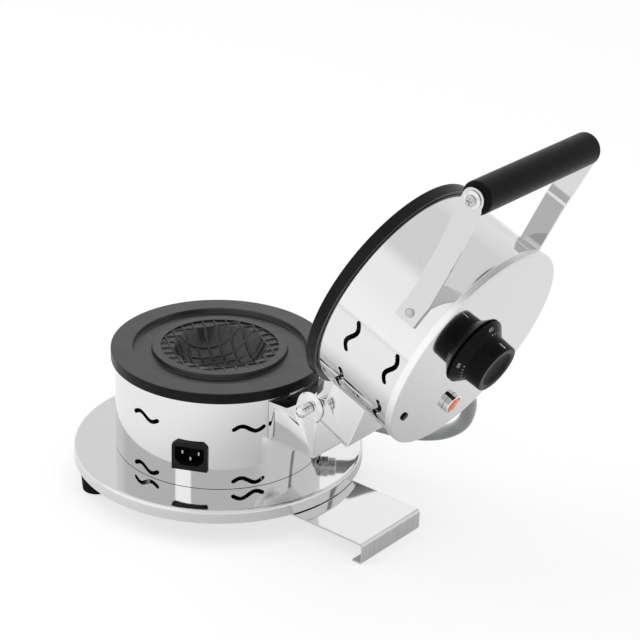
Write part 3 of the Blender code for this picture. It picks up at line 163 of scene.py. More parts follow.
def arc(a, b, radius, start, end, steps=8):
    """Points of an arc in degrees, both ends included."""
    turns = [math.radians(start + (end - start) * i / steps) for i in range(steps + 1)]
    return [(a + radius * math.cos(t), b + radius * math.sin(t)) for t in turns]


def corner(x, y, radius, start, end, steps=8):
    """Rounds the outer corner (x, y) of a profile, on the side that the arc's two angles face."""
    middle = math.radians((start + end) / 2)
    return arc(x - math.copysign(radius, math.cos(middle)), y - math.copysign(radius, math.sin(middle)),
               radius, start, end, steps)


def add_spun(bm, profile, steps, place=None):
    """Spins a profile of (radius, height) pairs about Z. It closes itself unless it starts on the axis."""
    before = set(bm.verts)
    closed = profile[0][0] > 0
    path = supported(profile + profile[:1])[:-1] if closed else supported(profile)
    points = [bm.verts.new((radius, 0, height)) for radius, height in path]
    edges = [bm.edges.new(pair) for pair in zip(points, points[1:])]
    if closed:
        edges.append(bm.edges.new((points[-1], points[0])))
    bmesh.ops.spin(bm, geom=points + edges, cent=(0, 0, 0), axis=(0, 0, 1),
                   angle=2 * math.pi, steps=steps, use_merge=True)
    if place is not None:
        made = [vert for vert in bm.verts if vert not in before]
        bmesh.ops.transform(bm, matrix=place, verts=made)


def linked(name, data):
    made = bpy.data.objects.new(name, data)
    bpy.context.collection.objects.link(made)
    return made


def plain(name, bm, finish, place=BASE, sharp=32):
    """A mesh object at the origin, with its place in its mesh."""
    bmesh.ops.remove_doubles(bm, verts=bm.verts, dist=0.0000005)
    bmesh.ops.transform(bm, matrix=place, verts=bm.verts)
    bmesh.ops.recalc_face_normals(bm, faces=bm.faces)
    mesh = bpy.data.meshes.new(name)
    bm.to_mesh(mesh)
    bm.free()
    mesh.shade_smooth()
    mesh.set_sharp_from_angle(angle=math.radians(sharp))
    mesh.materials.append(finish)
    return linked(name, mesh)


def fasten(made, body, finish_slot, *nodes):
    """Puts a finished piece on its body, in the place of the nodes it stands for."""
    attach(made, body)
    if nodes:
        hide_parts(*nodes)


def on_circle(angle, radius, height=0):
    turn = math.radians(angle)
    return Vector((radius * math.cos(turn), radius * math.sin(turn), height))


mirror_steel = polished_sheet()
bm = bmesh.new()
profile = [(0, DISC_TOP)] + corner(DISC_RADIUS, DISC_TOP, DISC_BEND, 90, 0)
profile += corner(DISC_RADIUS, DISC_TOP - DISC_RIM, SHEET_EDGE, 0, -90, 2)
profile += [(DISC_RADIUS - DISC_SHEET, DISC_TOP - DISC_RIM)]
profile += corner(DISC_RADIUS - DISC_SHEET, DISC_TOP - DISC_SHEET, DISC_BEND - DISC_SHEET, 0, 90, 4)
profile += [(0, DISC_TOP - DISC_SHEET)]
add_spun(bm, profile, LARGE_ROUND)
boss = [(0, -0.0066), (0.0043, -0.0066), (0.0046, -0.0063), (0.0046, 0.0003), (0, 0.0003)]
for angle in FOOT_TURNS.values():
    add_spun(bm, boss, 32, shifted(on_circle(angle, FOOT_CIRCLE, DISC_TOP - DISC_SHEET)))
fasten(plain("base-disc", bm, mirror_steel), "base", "polished_steel", "base_disc")

# Feet
# Two moulded rubber feet under the front of the disc, tapered to the table, with a ring at the sole and
# a well for the screw that holds each one to its boss.
SOLE_RADIUS, HEAD_RADIUS = 0.0120, 0.0141
WELL, WELL_TOP, SCREW_HOLE, BOSS_HOLE, BOSS_LOW = 0.0056, 0.0135, 0.0023, 0.0049, 0.0195


def spun_piece(name, finish, profile, steps, spot=None, whole=BASE):
    """A piece made of one spun profile."""
    bm = bmesh.new()
    add_spun(bm, profile, steps, spot)
    return plain(name, bm, finish, whole)


rubber, shader, where = surface("moulded black rubber")
fill(shader, {"Base Color": clouded(where, 0.004, 0.009, 70, 5, 0.7),
              "Roughness": 0.62, "Specular IOR Level": 0.08,
              "Normal": bump(noise(where, 1600, 3, 0.6), 0.00002)})
for side, angle in FOOT_TURNS.items():
    profile = [(WELL, 0)] + corner(SOLE_RADIUS, 0, 0.0012, -90, 0, 5)
    profile += [(0.0122, 0.0034), (0.0119, 0.0038), (0.0123, 0.0043)]
    profile += corner(HEAD_RADIUS, UNDER_DISC, 0.0006, 0, 90, 4)
    profile += [(BOSS_HOLE, UNDER_DISC), (BOSS_HOLE, BOSS_LOW), (SCREW_HOLE, BOSS_LOW),
                (SCREW_HOLE, WELL_TOP), (WELL, WELL_TOP)]
    foot = spun_piece(f"{side}-foot", rubber, profile, 56, shifted(on_circle(angle, FOOT_CIRCLE)))
    fasten(foot, "base", "rubber", f"foot_{side}")

# Rear stand
# One strip of stainless, bent down to the table behind the hinge and back in at its foot. It is screwed
# under the disc; its faces are polished and its standing end keeps the grain of the strip.
STAND_HALF, STAND_END, STAND_TOP = 0.0379, 0.188, 0.0185
STAND_SHEET, STAND_BEND, STAND_LIP = 0.0015, 0.0030, 0.0085
TAB_START, JOGGLE_START, JOGGLE_END = 0.066, 0.092, 0.104


def add_prism(bm, outline, start, end, place=None):
    """A prism on an outline of (a, b) pairs, from one depth to another along its third axis."""
    path = supported(outline + outline[:1])[:-1]
    ring = [bm.verts.new((a, b, start)) for a, b in path]
    face = bm.faces.new(ring)
    grown = bmesh.ops.extrude_face_region(bm, geom=[face])
    moved = [item for item in grown["geom"] if isinstance(item, bmesh.types.BMVert)]
    bmesh.ops.translate(bm, vec=(0, 0, end - start), verts=moved)
    if place is not None:
        bmesh.ops.transform(bm, matrix=place, verts=ring + moved)


def prism_piece(name, finish, outline, start, end, place, whole=BASE):
    bm = bmesh.new()
    add_prism(bm, outline, start, end, place)
    return plain(name, bm, finish, whole)


def soften(made, width, segments=2, angle=40):
    """Takes the sharp edges off a piece."""
    step = made.modifiers.new("Soft edges", "BEVEL")
    step.width, step.segments = width, segments
    step.limit_method = "ANGLE"
    step.angle_limit = math.radians(angle)
    step.harden_normals = True


def turned(degrees, axis):
    return Matrix.Rotation(math.radians(degrees), 4, axis)


stand_grain, shader, where = surface("grained stand end")
lines = noise(where, 420, 3, 0.65, (0.02, 1, 0.02))
fill(shader, {"Metallic": 1, "Base Color": ramp(lines, (0.25, 0.6336), (0.75, 0.792)),
              "Roughness": clouded(where, 0.16, 0.25, 30, 3),
              "Normal": bump(lines, 0.0000016)})
inner = STAND_BEND - STAND_SHEET
end_inside = STAND_END - STAND_SHEET
outline = [(TAB_START, UNDER_DISC), (JOGGLE_START, UNDER_DISC), (JOGGLE_END, STAND_TOP)]
outline += corner(STAND_END, STAND_TOP, STAND_BEND, 90, 0) + corner(STAND_END, 0, STAND_BEND, 0, -90)
outline += [(end_inside - STAND_LIP, 0), (end_inside - STAND_LIP, STAND_SHEET)]
outline += corner(end_inside, STAND_SHEET, inner, -90, 0)
outline += corner(end_inside, STAND_TOP - STAND_SHEET, inner, 0, 90)
outline += [(x, z - STAND_SHEET) for x, z in reversed(outline[:3])]
stand = prism_piece("rear-stand", mirror_steel, outline, -STAND_HALF, STAND_HALF, turned(90, "X"))
stand.data.materials.append(stand_grain)
for face in stand.data.polygons:
    if face.normal.x > 0.9:
        face.material_index = 1
soften(stand, 0.00025)
fasten(stand, "base", "polished_steel", "rear_stand")

# Screws
# Pan-head machine screws with a cross recess: four through the disc and the drum, one up each foot,
# three from inside each drum into its plate, and one at each end of the handle.
SCREW_CIRCLE, BASE_SCREW_TIP, FOOT_SCREW_LENGTH = 0.0815, 0.035, 0.0091
SHEET_SCREW, FOOT_SCREW = (0.0036, 0.0022, 0.0018), (0.0042, 0.0026, 0.002)


def named_tree(name, **sockets):
    """A tree with named inputs, and the sockets by which they come in."""
    tree = bpy.data.node_groups.new(name, "GeometryNodeTree")
    for key, kind in sockets.items():
        tree.interface.new_socket(key.replace("_", " "), in_out="INPUT", socket_type="NodeSocket" + kind)
    tree.interface.new_socket("Pieces", in_out="OUTPUT", socket_type="NodeSocketGeometry")
    return tree, tree.nodes.new("NodeGroupInput").outputs


def end_tree(tree, shape, material):
    """Ends a tree in plain mesh with its material."""
    real = fed("GeometryNodeRealizeInstances", {"Geometry": shape})
    dressed = fed("GeometryNodeSetMaterial", {"Geometry": real, "Material": material})
    fill(tree.nodes.new("NodeGroupOutput"), {"Pieces": dressed})


def times(size, part):
    return calc("MULTIPLY", size, part)


def raised(mesh, height):
    lift = fed("ShaderNodeCombineXYZ", {"Z": height})
    return fed("GeometryNodeTransform", {"Geometry": mesh, "Translation": lift})


def settle(made, sharp=32):
    """Turns what a piece's modifiers make into its own plain mesh."""
    bpy.context.view_layer.update()
    grown = made.evaluated_get(bpy.context.evaluated_depsgraph_get())
    made.data = bpy.data.meshes.new_from_object(grown)
    made.modifiers.clear()
    made.data.shade_smooth()
    made.data.set_sharp_from_angle(angle=math.radians(sharp))


def grown_from(tree, name, mesh, **values):
    """Runs a tree on a mesh with its named inputs and gives back a plain mesh object."""
    made = linked(name, mesh)
    step = made.modifiers.new(name, "NODES")
    step.node_group = tree
    sockets = {item.name: item.identifier for item in tree.interface.items_tree
               if item.item_type == "SOCKET" and item.in_out == "INPUT"}
    for key, value in values.items():
        step[sockets[key.replace("_", " ")]] = value
    settle(made)
    return made


def set_screw(name, node, body, place, sizes, length):
    """Sets one screw by its placing matrix. Its sizes are the head's radius and height and the shank's."""
    mesh = bpy.data.meshes.new(name)
    mesh.from_pydata([place.to_translation()], [], [])
    mesh.attributes.new("turn", "FLOAT_VECTOR", "POINT").data[0].vector = place.to_euler()
    made = grown_from(screw_maker, name, mesh, Head_Radius=sizes[0], Head_Height=sizes[1],
                      Shank_Radius=sizes[2], Shank_Length=length, Material=screw_steel)
    fasten(made, body, "brushed_steel", node)


screw_steel, shader, where = surface("plated screw steel")
fill(shader, {"Metallic": 1, "Base Color": clouded(where, 0.5, 0.68, 500, 4, 0.7),
              "Roughness": clouded(where, 0.18, 0.34, 900)})
screw_maker, given = named_tree("cross-recessed screws", Places="Geometry", Head_Radius="Float",
                                Head_Height="Float", Shank_Radius="Float", Shank_Length="Float",
                                Material="Material")
head, rise = given["Head Radius"], given["Head Height"]
rings = []
for top, bottom, part, foot in ((1, 1, 0.45, 0), (0.86, 1, 0.3, 0.45), (0.5, 0.86, 0.25, 0.75)):
    ring = fed("GeometryNodeMeshCone", {"Vertices": 28, "Radius Top": times(head, top),
                                        "Radius Bottom": times(head, bottom),
                                        "Depth": times(rise, part)}, "Mesh")
    rings.append(raised(ring, times(rise, foot)) if foot else ring)
shank = fed("GeometryNodeMeshCylinder", {"Vertices": 20, "Radius": given["Shank Radius"],
                                         "Depth": given["Shank Length"]}, "Mesh")
rings.append(raised(shank, times(given["Shank Length"], -0.5)))
body = fed("GeometryNodeMeshBoolean", {"Mesh 2": rings[0]}, operation="UNION", solver="EXACT")
for ring in rings[1:]:
    fill(body.node, {"Mesh 2": ring})
recess = fed("GeometryNodeMeshBoolean", {"Mesh 1": body}, operation="DIFFERENCE", solver="EXACT")
for wide, thin in (("X", "Y"), ("Y", "X")):
    size = fed("ShaderNodeCombineXYZ", {wide: times(head, 1.15), thin: times(head, 0.26),
                                        "Z": times(rise, 1.3)})
    blade = fed("GeometryNodeMeshCube", {"Size": size}, "Mesh")
    fill(recess.node, {"Mesh 2": raised(blade, times(rise, 1.1))})
turn = screw_maker.nodes.new("GeometryNodeInputNamedAttribute")
turn.data_type = "FLOAT_VECTOR"
turns = fill(turn, {"Name": "turn"}).outputs["Attribute"]
end_tree(screw_maker, fed("GeometryNodeInstanceOnPoints", {"Points": given["Places"], "Instance": recess,
                                                          "Rotation": turns}), given["Material"])
HEAD_DOWN = turned(180, "X")
for name, angle in {"rear_near": -22, "rear_far": 22, "front_near": -150, "front_far": 150}.items():
    seat = UNDER_DISC - (STAND_SHEET + FIT if name.startswith("rear") else 0)
    place = BASE @ shifted(on_circle(angle, SCREW_CIRCLE, seat)) @ HEAD_DOWN
    set_screw(f"base-screw-{name}", f"base_screw_{name}", "base", place, SHEET_SCREW,
              BASE_SCREW_TIP - seat)
for side, angle in FOOT_TURNS.items():
    place = BASE @ shifted(on_circle(angle, FOOT_CIRCLE, WELL_TOP - FIT)) @ HEAD_DOWN
    set_screw(f"{side}-foot-screw", f"foot_screw_{side}", "base", place, FOOT_SCREW,
              FOOT_SCREW_LENGTH)

# Lower drum
# A cylinder of polished stainless sheet with a flange turned in at each end, which holds the heater.
# Wave-shaped vents are pressed through it in two rows, and it is cut out for the mains inlet.
DRUM_RADIUS, DRUM_SHEET, FLANGE = 0.0879, 0.001, 0.0125
DRUM_BOTTOM, DRUM_TOP = DISC_TOP + FIT, 0.1101
INLET_TURN, INLET_LEVEL = -63.5, 0.0601
VENT_HALF, VENT_WIDTH, WAVE, SWING = 0.0141, 0.0037, 0.0252, 0.0027
CUT_INSIDE, CUT_OUTSIDE = 0.0855, 0.0895
GLAND_HOLE, GLAND_TURN, LOWER_GLAND_LEVEL, UPPER_GLAND_LEVEL = 0.0079, 39, 0.055, 0.060


def add_bar(bm, rows):
    """Joins a chain of four-cornered sections to a bar with closed ends."""
    for first, second in zip(rows, rows[1:]):
        for i in range(4):
            bm.faces.new((first[i], first[i - 3], second[i - 3], second[i]))
    bm.faces.new(rows[0])
    bm.faces.new(rows[-1])


def add_vent(bm, angle, height):
    """A cutter for one vent: a wave with round ends, wrapped on the drum."""
    end = [(-VENT_HALF + VENT_WIDTH / 2 * (1 - math.cos(t)), math.sin(t))
           for t in (math.pi / 2 * i / 6 for i in range(7))]
    end[0] = (-VENT_HALF, 0.06)
    middle = [(-VENT_HALF + VENT_WIDTH / 2 + (2 * VENT_HALF - VENT_WIDTH) * i / 28, 1)
              for i in range(1, 28)]
    rows = []
    for run, share in end + middle + [(-run, share) for run, share in reversed(end)]:
        phase = 2 * math.pi * run / WAVE
        slope = -SWING * math.cos(phase) * 2 * math.pi / WAVE
        across = Vector((-slope, 1)).normalized() * VENT_WIDTH / 2 * share
        row = []
        for side, radius in ((1, CUT_OUTSIDE), (-1, CUT_OUTSIDE), (-1, CUT_INSIDE), (1, CUT_INSIDE)):
            turn = math.radians(angle) + (run + side * across.x) / DRUM_RADIUS
            level = height - SWING * math.sin(phase) + side * across.y
            row.append(bm.verts.new((radius * math.cos(turn), radius * math.sin(turn), level)))
        rows.append(row)
    add_bar(bm, rows)


def inlet_outline(grow=0):
    half_w, half_h, chamfer = 0.0150 + grow, 0.01275 + grow, 0.0036
    return [(-half_w, -half_h), (half_w, -half_h), (half_w, half_h - chamfer),
            (half_w - chamfer, half_h), (chamfer - half_w, half_h), (-half_w, half_h - chamfer)]


def outwards(angle, height):
    """Places a piece drawn about Z so that its axis points out of a drum."""
    return turned(angle, "Z") @ shifted((0, 0, height)) @ turned(90, "Y")


def rod(radius, low, high):
    return [(0, low), (radius, low), (radius, high), (0, high)]


def combine(made, tool, operation="DIFFERENCE", sharp=32):
    """Cuts a tool out of a piece, or keeps what they share, in plain mesh of the piece's material."""
    step = made.modifiers.new("Cut", "BOOLEAN")
    step.operation, step.solver, step.object = operation, "EXACT", tool
    settle(made, sharp)
    bpy.data.objects.remove(tool, do_unlink=True)
    while len(made.data.materials) > 1:
        made.data.materials.pop()


def cut(made, bm, place=BASE, operation="DIFFERENCE"):
    combine(made, plain("tool", bm, mirror_steel, place), operation)


def cut_spun(made, profile, steps, spot=None, place=BASE, operation="DIFFERENCE"):
    combine(made, spun_piece("tool", mirror_steel, profile, steps, spot, place), operation)


def level_way(spot):
    return Vector((spot.x, spot.y, 0)).normalized()


def true_round(made, place):
    """Gives a cut drum exactly round normals, so that its reflections run on round the cuts."""
    mesh, back, turn = made.data, place.inverted(), place.to_3x3()
    normals = [item.vector.copy() for item in mesh.corner_normals]
    for face in mesh.polygons:
        facing = (back.to_3x3() @ face.normal).dot(level_way(back @ face.center))
        if abs(facing) >= 0.995:
            for i in face.loop_indices:
                spot = back @ mesh.vertices[mesh.loops[i].vertex_index].co
                normals[i] = turn @ (level_way(spot) * math.copysign(1, facing))
    mesh.normals_split_custom_set(normals)


def drum(name, node, body, place, profile, columns, rows, gland_level):
    """A spun drum with its vents, the hole for its gland and, in the base, the one for the inlet."""
    made = spun_piece(name, mirror_steel, profile, LARGE_ROUND, None, place)
    bm = bmesh.new()
    for angle in columns:
        for height in rows:
            add_vent(bm, angle, height)
    if body == "base":
        add_prism(bm, inlet_outline(FIT), 0.0825, 0.092, INLET_PLACE)
    add_spun(bm, rod(GLAND_HOLE, 0.084, 0.091), 40, outwards(GLAND_TURN, gland_level))
    cut(made, bm, place)
    true_round(made, place)
    fasten(made, body, "polished_steel", node)


INLET_PLACE = turned(INLET_TURN, "Z") @ Matrix(((0, 0, 1, 0), (1, 0, 0, 0), (0, 1, 0, INLET_LEVEL),
                                                (0, 0, 0, 1)))
lip, inside = DRUM_RADIUS - FLANGE, DRUM_RADIUS - DRUM_SHEET
profile = [(lip, DRUM_BOTTOM), (DRUM_RADIUS, DRUM_BOTTOM), (DRUM_RADIUS, DRUM_TOP), (lip, DRUM_TOP),
           (lip, DRUM_TOP - DRUM_SHEET), (inside, DRUM_TOP - DRUM_SHEET),
           (inside, DRUM_BOTTOM + DRUM_SHEET), (lip, DRUM_BOTTOM + DRUM_SHEET)]
drum("lower-drum", "lower_housing", "base", BASE, profile, (-91, -32, 32, 91), (0.0375, 0.0852),
     LOWER_GLAND_LEVEL)

# Mains inlet
# A moulded black socket set through the drum, with chamfered corners, a keyed recess and three plated
# blades that stop short of its face.
SOCKET_BACK, SOCKET_FACE, RECESS_FLOOR, BLADE_TIP = 0.0661, 0.0901, 0.0736, 0.0866
BLADE_HALF_THICK, BLADE_HALF_WIDE = 0.0008, 0.0016
BLADES = {"line": (-0.0068, 0.0018), "neutral": (0.0070, 0.0018), "earth": (0, -0.0035)}


def satin_plastic(name, tone, rough, grain=0.000012, shine=0.2):
    """Black moulded plastic with a fine spark-eroded grain and faint flow marks."""
    made, shader, where = surface(name)
    fill(shader, {"Base Color": clouded(where, tone * 0.8, tone * 1.3, 45, 4, 0.6),
                  "Roughness": clouded(where, rough * 0.85, rough * 1.15, 260, 3),
                  "Specular IOR Level": shine, "Normal": bump(noise(where, 2600), grain)})
    return made


def oblong(half_w, half_h, x=0, y=0):
    return [(x - half_w, y - half_h), (x + half_w, y - half_h), (x + half_w, y + half_h),
            (x - half_w, y + half_h)]


socket_plastic = satin_plastic("black socket plastic", 0.007, 0.38)
inlet = prism_piece("mains-inlet", socket_plastic, inlet_outline(), SOCKET_BACK, SOCKET_FACE, INLET_PLACE)
half_w, half_h, chamfer = 0.0121, 0.0083, 0.0050
bm = bmesh.new()
add_prism(bm, [(-half_w, half_h), (-half_w, chamfer - half_h), (chamfer - half_w, -half_h),
               (half_w - chamfer, -half_h), (half_w, chamfer - half_h), (half_w, half_h)],
          RECESS_FLOOR, 0.092, INLET_PLACE)
cut(inlet, bm)
soften(inlet, 0.0005, 3)
fasten(inlet, "base", "black_plastic", "inlet_socket")
for name, spot in BLADES.items():
    blade = prism_piece(f"{name}-blade", screw_steel, oblong(BLADE_HALF_THICK, BLADE_HALF_WIDE, *spot),
                        RECESS_FLOOR + FIT, BLADE_TIP, INLET_PLACE)
    soften(blade, 0.0004, 3)
    fasten(blade, "base", "brushed_steel", f"inlet_pin_{name}")

# Plates
# Two cast aluminium plates from one pattern, baked with a dark release coating. Each has a flat flange,
# a ring channel, a mould ring and a bowl whose floor and ledge carry two crossed families of ribs.
PLATE_RADIUS, PLATE_TOP, PLATE_THICK, PLATE_EDGE = 0.0912, 0.1196, 0.0092, 0.0004
RING_RADIUS, CHANNEL_RADIUS, CHANNEL_DEPTH, DRAFT = 0.0564, 0.0720, 0.0039, 0.0010
RIB_FIELD, RIB_END, RIB_PITCH, RIB_HALF, RIB_RISE, RIB_TURN = 0.0495, 0.0455, 0.0098, 0.00105, 0.0012, -30
FIELD_EDGE = RIB_FIELD + 0.002
LEDGE_DEPTH, BOWL_DEPTH, BOWL_RADIUS, BOWL_EASE = 0.0013, 0.0206, 0.0385, 0.0040
BACK_RADIUS, BACK_DEPTH = 0.0435, 0.0289
HINGE = Vector((0.1247, 0, 0.1171))
OPEN_TURN = 111.9
LID = BASE @ shifted(HINGE) @ turned(OPEN_TURN, "Y") @ shifted((-HINGE.x, 0, 0))
LID_FACE = 0.1203 - HINGE.z
PLATE_PLACE = {"lower": BASE @ shifted((0, 0, PLATE_TOP)),
               "upper": LID @ shifted((0, 0, LID_FACE)) @ HEAD_DOWN}
PLATE_BODY = {"lower": "base", "upper": "lid"}


def release_coating(name, shine):
    """A dark baked coating: fine orange peel, slow clouds of shade and pale flecks."""
    made, shader, where = surface(name)
    flecks = ramp(noise(where, 2400, 1), (0.74, 0.0), (0.8, 1.0))
    shade = clouded(where, (0.007, 0.007, 0.008), (0.013, 0.013, 0.014), 24, 5, 0.65)
    peel = bump(noise(where, 520), 0.00006)
    fill(shader, {"Base Color": mix(flecks, shade, (0.16, 0.16, 0.16, 1)), "Specular IOR Level": shine,
                  "Roughness": clouded(where, 0.27, 0.36, 60, 4),
                  "Normal": bump(noise(where, 3200), 0.00001, Normal=peel)})
    return made


def bowl_level(radius):
    """Height of the bowl's floor between the ribs, below the face of the plate."""
    depth = BOWL_DEPTH * (1 - (radius / BOWL_RADIUS) ** 5)
    return -LEDGE_DEPTH - (depth + math.sqrt(depth * depth + BOWL_EASE * BOWL_EASE)) / 2


def rib_lines():
    """Places across one family of ribs, each with the share of the rib's height that it has."""
    crown = ((-1, 0), (-0.78, 0.3), (-0.5, 0.82), (-0.2, 1), (0.2, 1), (0.5, 0.82), (0.78, 0.3), (1, 0))
    lines = []
    for index in range(-4, 5):
        lines += [(index * RIB_PITCH + RIB_HALF * share, rise) for share, rise in crown]
        lines += [(index * RIB_PITCH + RIB_HALF + (RIB_PITCH - 2 * RIB_HALF) * i / 6, 0)
                  for i in range(1, 6)]
    return [(-FIELD_EDGE, 0), (-RIB_END, 0)] + lines[:-5] + [(RIB_END, 0), (FIELD_EDGE, 0)]


def add_rib_tool(bm):
    """A block over the bowl whose lower face is the ribbed floor."""
    lines = rib_lines()
    grid = []
    for x, share_x in lines:
        row = []
        for y, share_y in lines:
            level = bowl_level(min(math.hypot(x, y), FIELD_EDGE))
            row.append(bm.verts.new((x, y, level + RIB_RISE * max(share_x, share_y))))
        grid.append(row)
    ends = (lines[0][0], lines[-1][0])
    (a, b), (c, d) = [[bm.verts.new((x, y, 0.003)) for y in ends] for x in ends]
    for first, second in zip(grid, grid[1:]):
        for i in range(len(lines) - 1):
            bm.faces.new((first[i], first[i + 1], second[i + 1], second[i]))
    for wall in ([row[0] for row in grid] + [c, a], [row[-1] for row in grid] + [d, b],
                 grid[0] + [b, a], grid[-1] + [d, c], [a, b, d, c]):
        bm.faces.new(wall)


def mould_plate(side):
    """A plate drawn with its face at zero height, facing up, before it is placed."""
    place = PLATE_PLACE[side]
    blank = [(0, 0)] + corner(RING_RADIUS, 0, PLATE_EDGE, 90, 14, 3)
    blank += corner(RING_RADIUS + DRAFT, -CHANNEL_DEPTH, PLATE_EDGE, 194, 270, 3)
    blank += corner(CHANNEL_RADIUS, -CHANNEL_DEPTH, 0.0005, -90, -14, 3)
    blank += corner(CHANNEL_RADIUS + DRAFT, 0, PLATE_EDGE, 166, 90, 3)
    blank += corner(PLATE_RADIUS, 0, 2 * PLATE_EDGE, 90, 0, 5)
    blank += corner(PLATE_RADIUS, -PLATE_THICK, PLATE_EDGE, 0, -90, 3)
    blank += [(BACK_RADIUS, -PLATE_THICK), (BACK_RADIUS * 0.55, -BACK_DEPTH), (0, -BACK_DEPTH)]
    made = spun_piece(f"{side}-plate", coating, blank, 200, None, place)
    bm = bmesh.new()
    add_rib_tool(bm)
    tool = plain("rib-tool", bm, coating, place @ turned(RIB_TURN, "Z"))
    cut_spun(tool, rod(RIB_FIELD, -0.03, 0.006), 200, None, place, "INTERSECT")
    combine(made, tool, sharp=38)
    # The upright outer wall takes a copy of the coating with far less shine, so that it reads darker than the
    # face: painted shade.
    made.data.materials.append(wall_coating_painted_shade)
    upright = place.to_3x3() @ Vector((0, 0, 1))
    for face in made.data.polygons:
        centre = place.inverted() @ face.center
        outside = math.hypot(centre.x, centre.y) > PLATE_RADIUS - 0.0009
        if outside and abs(face.normal.dot(upright)) < 0.7:
            face.material_index = 1
    fasten(made, PLATE_BODY[side], "coated_plate", f"{side}_plate")


coating = release_coating("dark release coating", 0.75)
# Same coating as the face with its shine cut from 0.75 to 0.12: painted shade for the plate's side.
wall_coating_painted_shade = release_coating("dark release coating, outer wall, painted shade", 0.12)
mould_plate("lower")
mould_plate("upper")

# Heaters and plate screws
# A ring of heat-tinted sheathed element lies behind each plate, and three screws from inside the drum
# hold the plate to its flange. Both are closed in by the drums.


def dress(finish, *nodes):
    """Gives the plain nodes their finish where nothing finer stands for them."""
    for name in nodes:
        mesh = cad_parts[name].data
        mesh.materials.clear()
        mesh.materials.append(finish)


element, shader, where = surface("heat-tinted element sheath")
tint = clouded(where, (0.16, 0.13, 0.10), (0.26, 0.24, 0.23), 40, 4, 0.6)
fill(shader, {"Metallic": 1, "Base Color": tint, "Roughness": 0.42,
              "Normal": bump(noise(where, 1500, 3), 0.00001)})
dress(element, "lower_heater", "upper_heater")
for index, angle in enumerate((60, 180, 300), 1):
    for side, below, length in (("lower", 0.0016, 0.0066), ("upper", 0.0018, 0.0068)):
        seat = shifted(on_circle(angle, SCREW_CIRCLE, -PLATE_THICK - below)) @ HEAD_DOWN
        set_screw(f"{side}-plate-screw-{index}", f"{side}_plate_screw_{index}", PLATE_BODY[side],
                  PLATE_PLACE[side] @ seat, SHEET_SCREW, length)

# Hinge brackets
# Each is a box of polished sheet, one strip bent round three sides with a cheek welded into each end.
# The cheeks run up to round ears for the pin, the lid's pair between the base's pair.
SHEET, BRACKET_FRONT, BRACKET_HALF, EAR_FOOT = 0.0012, 0.0435, 0.0322, -0.016
NEAR_FACE, FAR_FACE, BRACKET_REAR, BRACKET_BEND = 0.0096, 0.04415, 0.0076, 0.003


def ear(near, rear, bend, radius):
    """The neck and round end of an ear, from its front foot round to the rear face of the box."""
    foot = Vector((EAR_FOOT, near))
    lean = math.atan2(foot.y, foot.x) + math.acos(radius / foot.length)
    tail = []
    if radius > near:
        stop = math.acos(rear / radius)
    else:
        start = Vector((rear - bend, near))
        stop = math.atan2(start.y, start.x) - math.acos(radius / start.length)
        tail = corner(rear, near, bend, -90, 0)
    return arc(0, 0, radius, math.degrees(lean), 360 + math.degrees(stop), 40) + tail


def joined(name, parts):
    """Several plain objects made into one."""
    bm = bmesh.new()
    for part in parts:
        bm.from_mesh(part.data)
    mesh = bpy.data.meshes.new(name)
    bm.to_mesh(mesh)
    bm.free()
    mesh.materials.append(parts[0].data.materials[0])
    for part in parts:
        bpy.data.objects.remove(part, do_unlink=True)
    mesh.shade_smooth()
    mesh.set_sharp_from_angle(angle=math.radians(32))
    return linked(name, mesh)


def bracket(name, up, half_width, ear_radius, clear, whole):
    """Drawn from the hinge axis, up for the lid's bracket and down for the base's."""
    near, far, rear, bend = NEAR_FACE, FAR_FACE, BRACKET_REAR, BRACKET_BEND
    front = BRACKET_FRONT - HINGE.x
    inner, middle = bend - SHEET, SHEET / 2
    strip = [(front, near)] + corner(rear, near, bend, -90, 0) + corner(rear, far, bend, 0, 90)
    strip += [(front, far), (front, far - SHEET)] + corner(rear - SHEET, far - SHEET, inner, 90, 0)
    strip += corner(rear - SHEET, near + SHEET, inner, 0, -90) + [(front, near + SHEET)]
    cheek = [(front, near + middle), (EAR_FOOT, near + middle)]
    cheek += ear(near + middle, rear - middle, bend - middle, ear_radius)
    cheek += corner(rear - middle, far - middle, bend - middle, 0, 90) + [(front, far - middle)]
    axis = shifted((HINGE.x, 0, HINGE.z if up < 0 else 0)) @ turned(90, "X")
    place = axis @ Matrix.Diagonal((1, up, 1, 1))
    outer = half_width - 0.00015
    spans = [(strip, -half_width, half_width), (cheek, -outer, SHEET - outer), (cheek, outer - SHEET, outer)]
    parts = []
    for outline, start, end in spans:
        part = prism_piece(name, mirror_steel, outline, start, end, place, whole)
        soften(part, 0.00018)
        cut_spun(part, clear, LARGE_ROUND, None, whole)
        if outline is cheek:
            cut_spun(part, rod(0.0031, -0.04, 0.04), 48, axis, whole)
        parts.append(part)
    return joined(name, parts)


beside_drum, beside_plate = DRUM_RADIUS + FIT, PLATE_RADIUS + FIT
made = bracket("lower-hinge-bracket", -1, BRACKET_HALF, 0.0127, rod(beside_drum, 0, PLATE_TOP), BASE)
fasten(made, "base", "polished_steel", "lower_bracket")
over_plate = LID_FACE + PLATE_THICK + FIT
lid_clear = [(0, -0.002), (beside_plate, -0.002), (beside_plate, over_plate), (beside_drum, over_plate),
             (beside_drum, 0.0902), (0, 0.0902)]
made = bracket("upper-hinge-bracket", 1, BRACKET_HALF - 0.00165, 0.0090, lid_clear, LID)
fasten(made, "lid", "polished_steel", "upper_bracket")

# Hinge pin
# A plain steel pin through the four ears. At each end two dark rings stand off the cheek and a domed
# nut closes it.
PIN_RADIUS, PIN_HALF, SPACER_WIDTH, SPACER_RADIUS = 0.003, 0.0406, 0.0039, 0.0046
SPACER_SEAT, NUT_SEAT = 0.0325, 0.0409
SIDES = {"near": -1, "far": 1}


def across(x, y, z, side=1):
    """Places a piece drawn about Z so that its axis points along +Y, or -Y for side -1."""
    return shifted((x, y, z)) @ turned(-side * 90, "X")


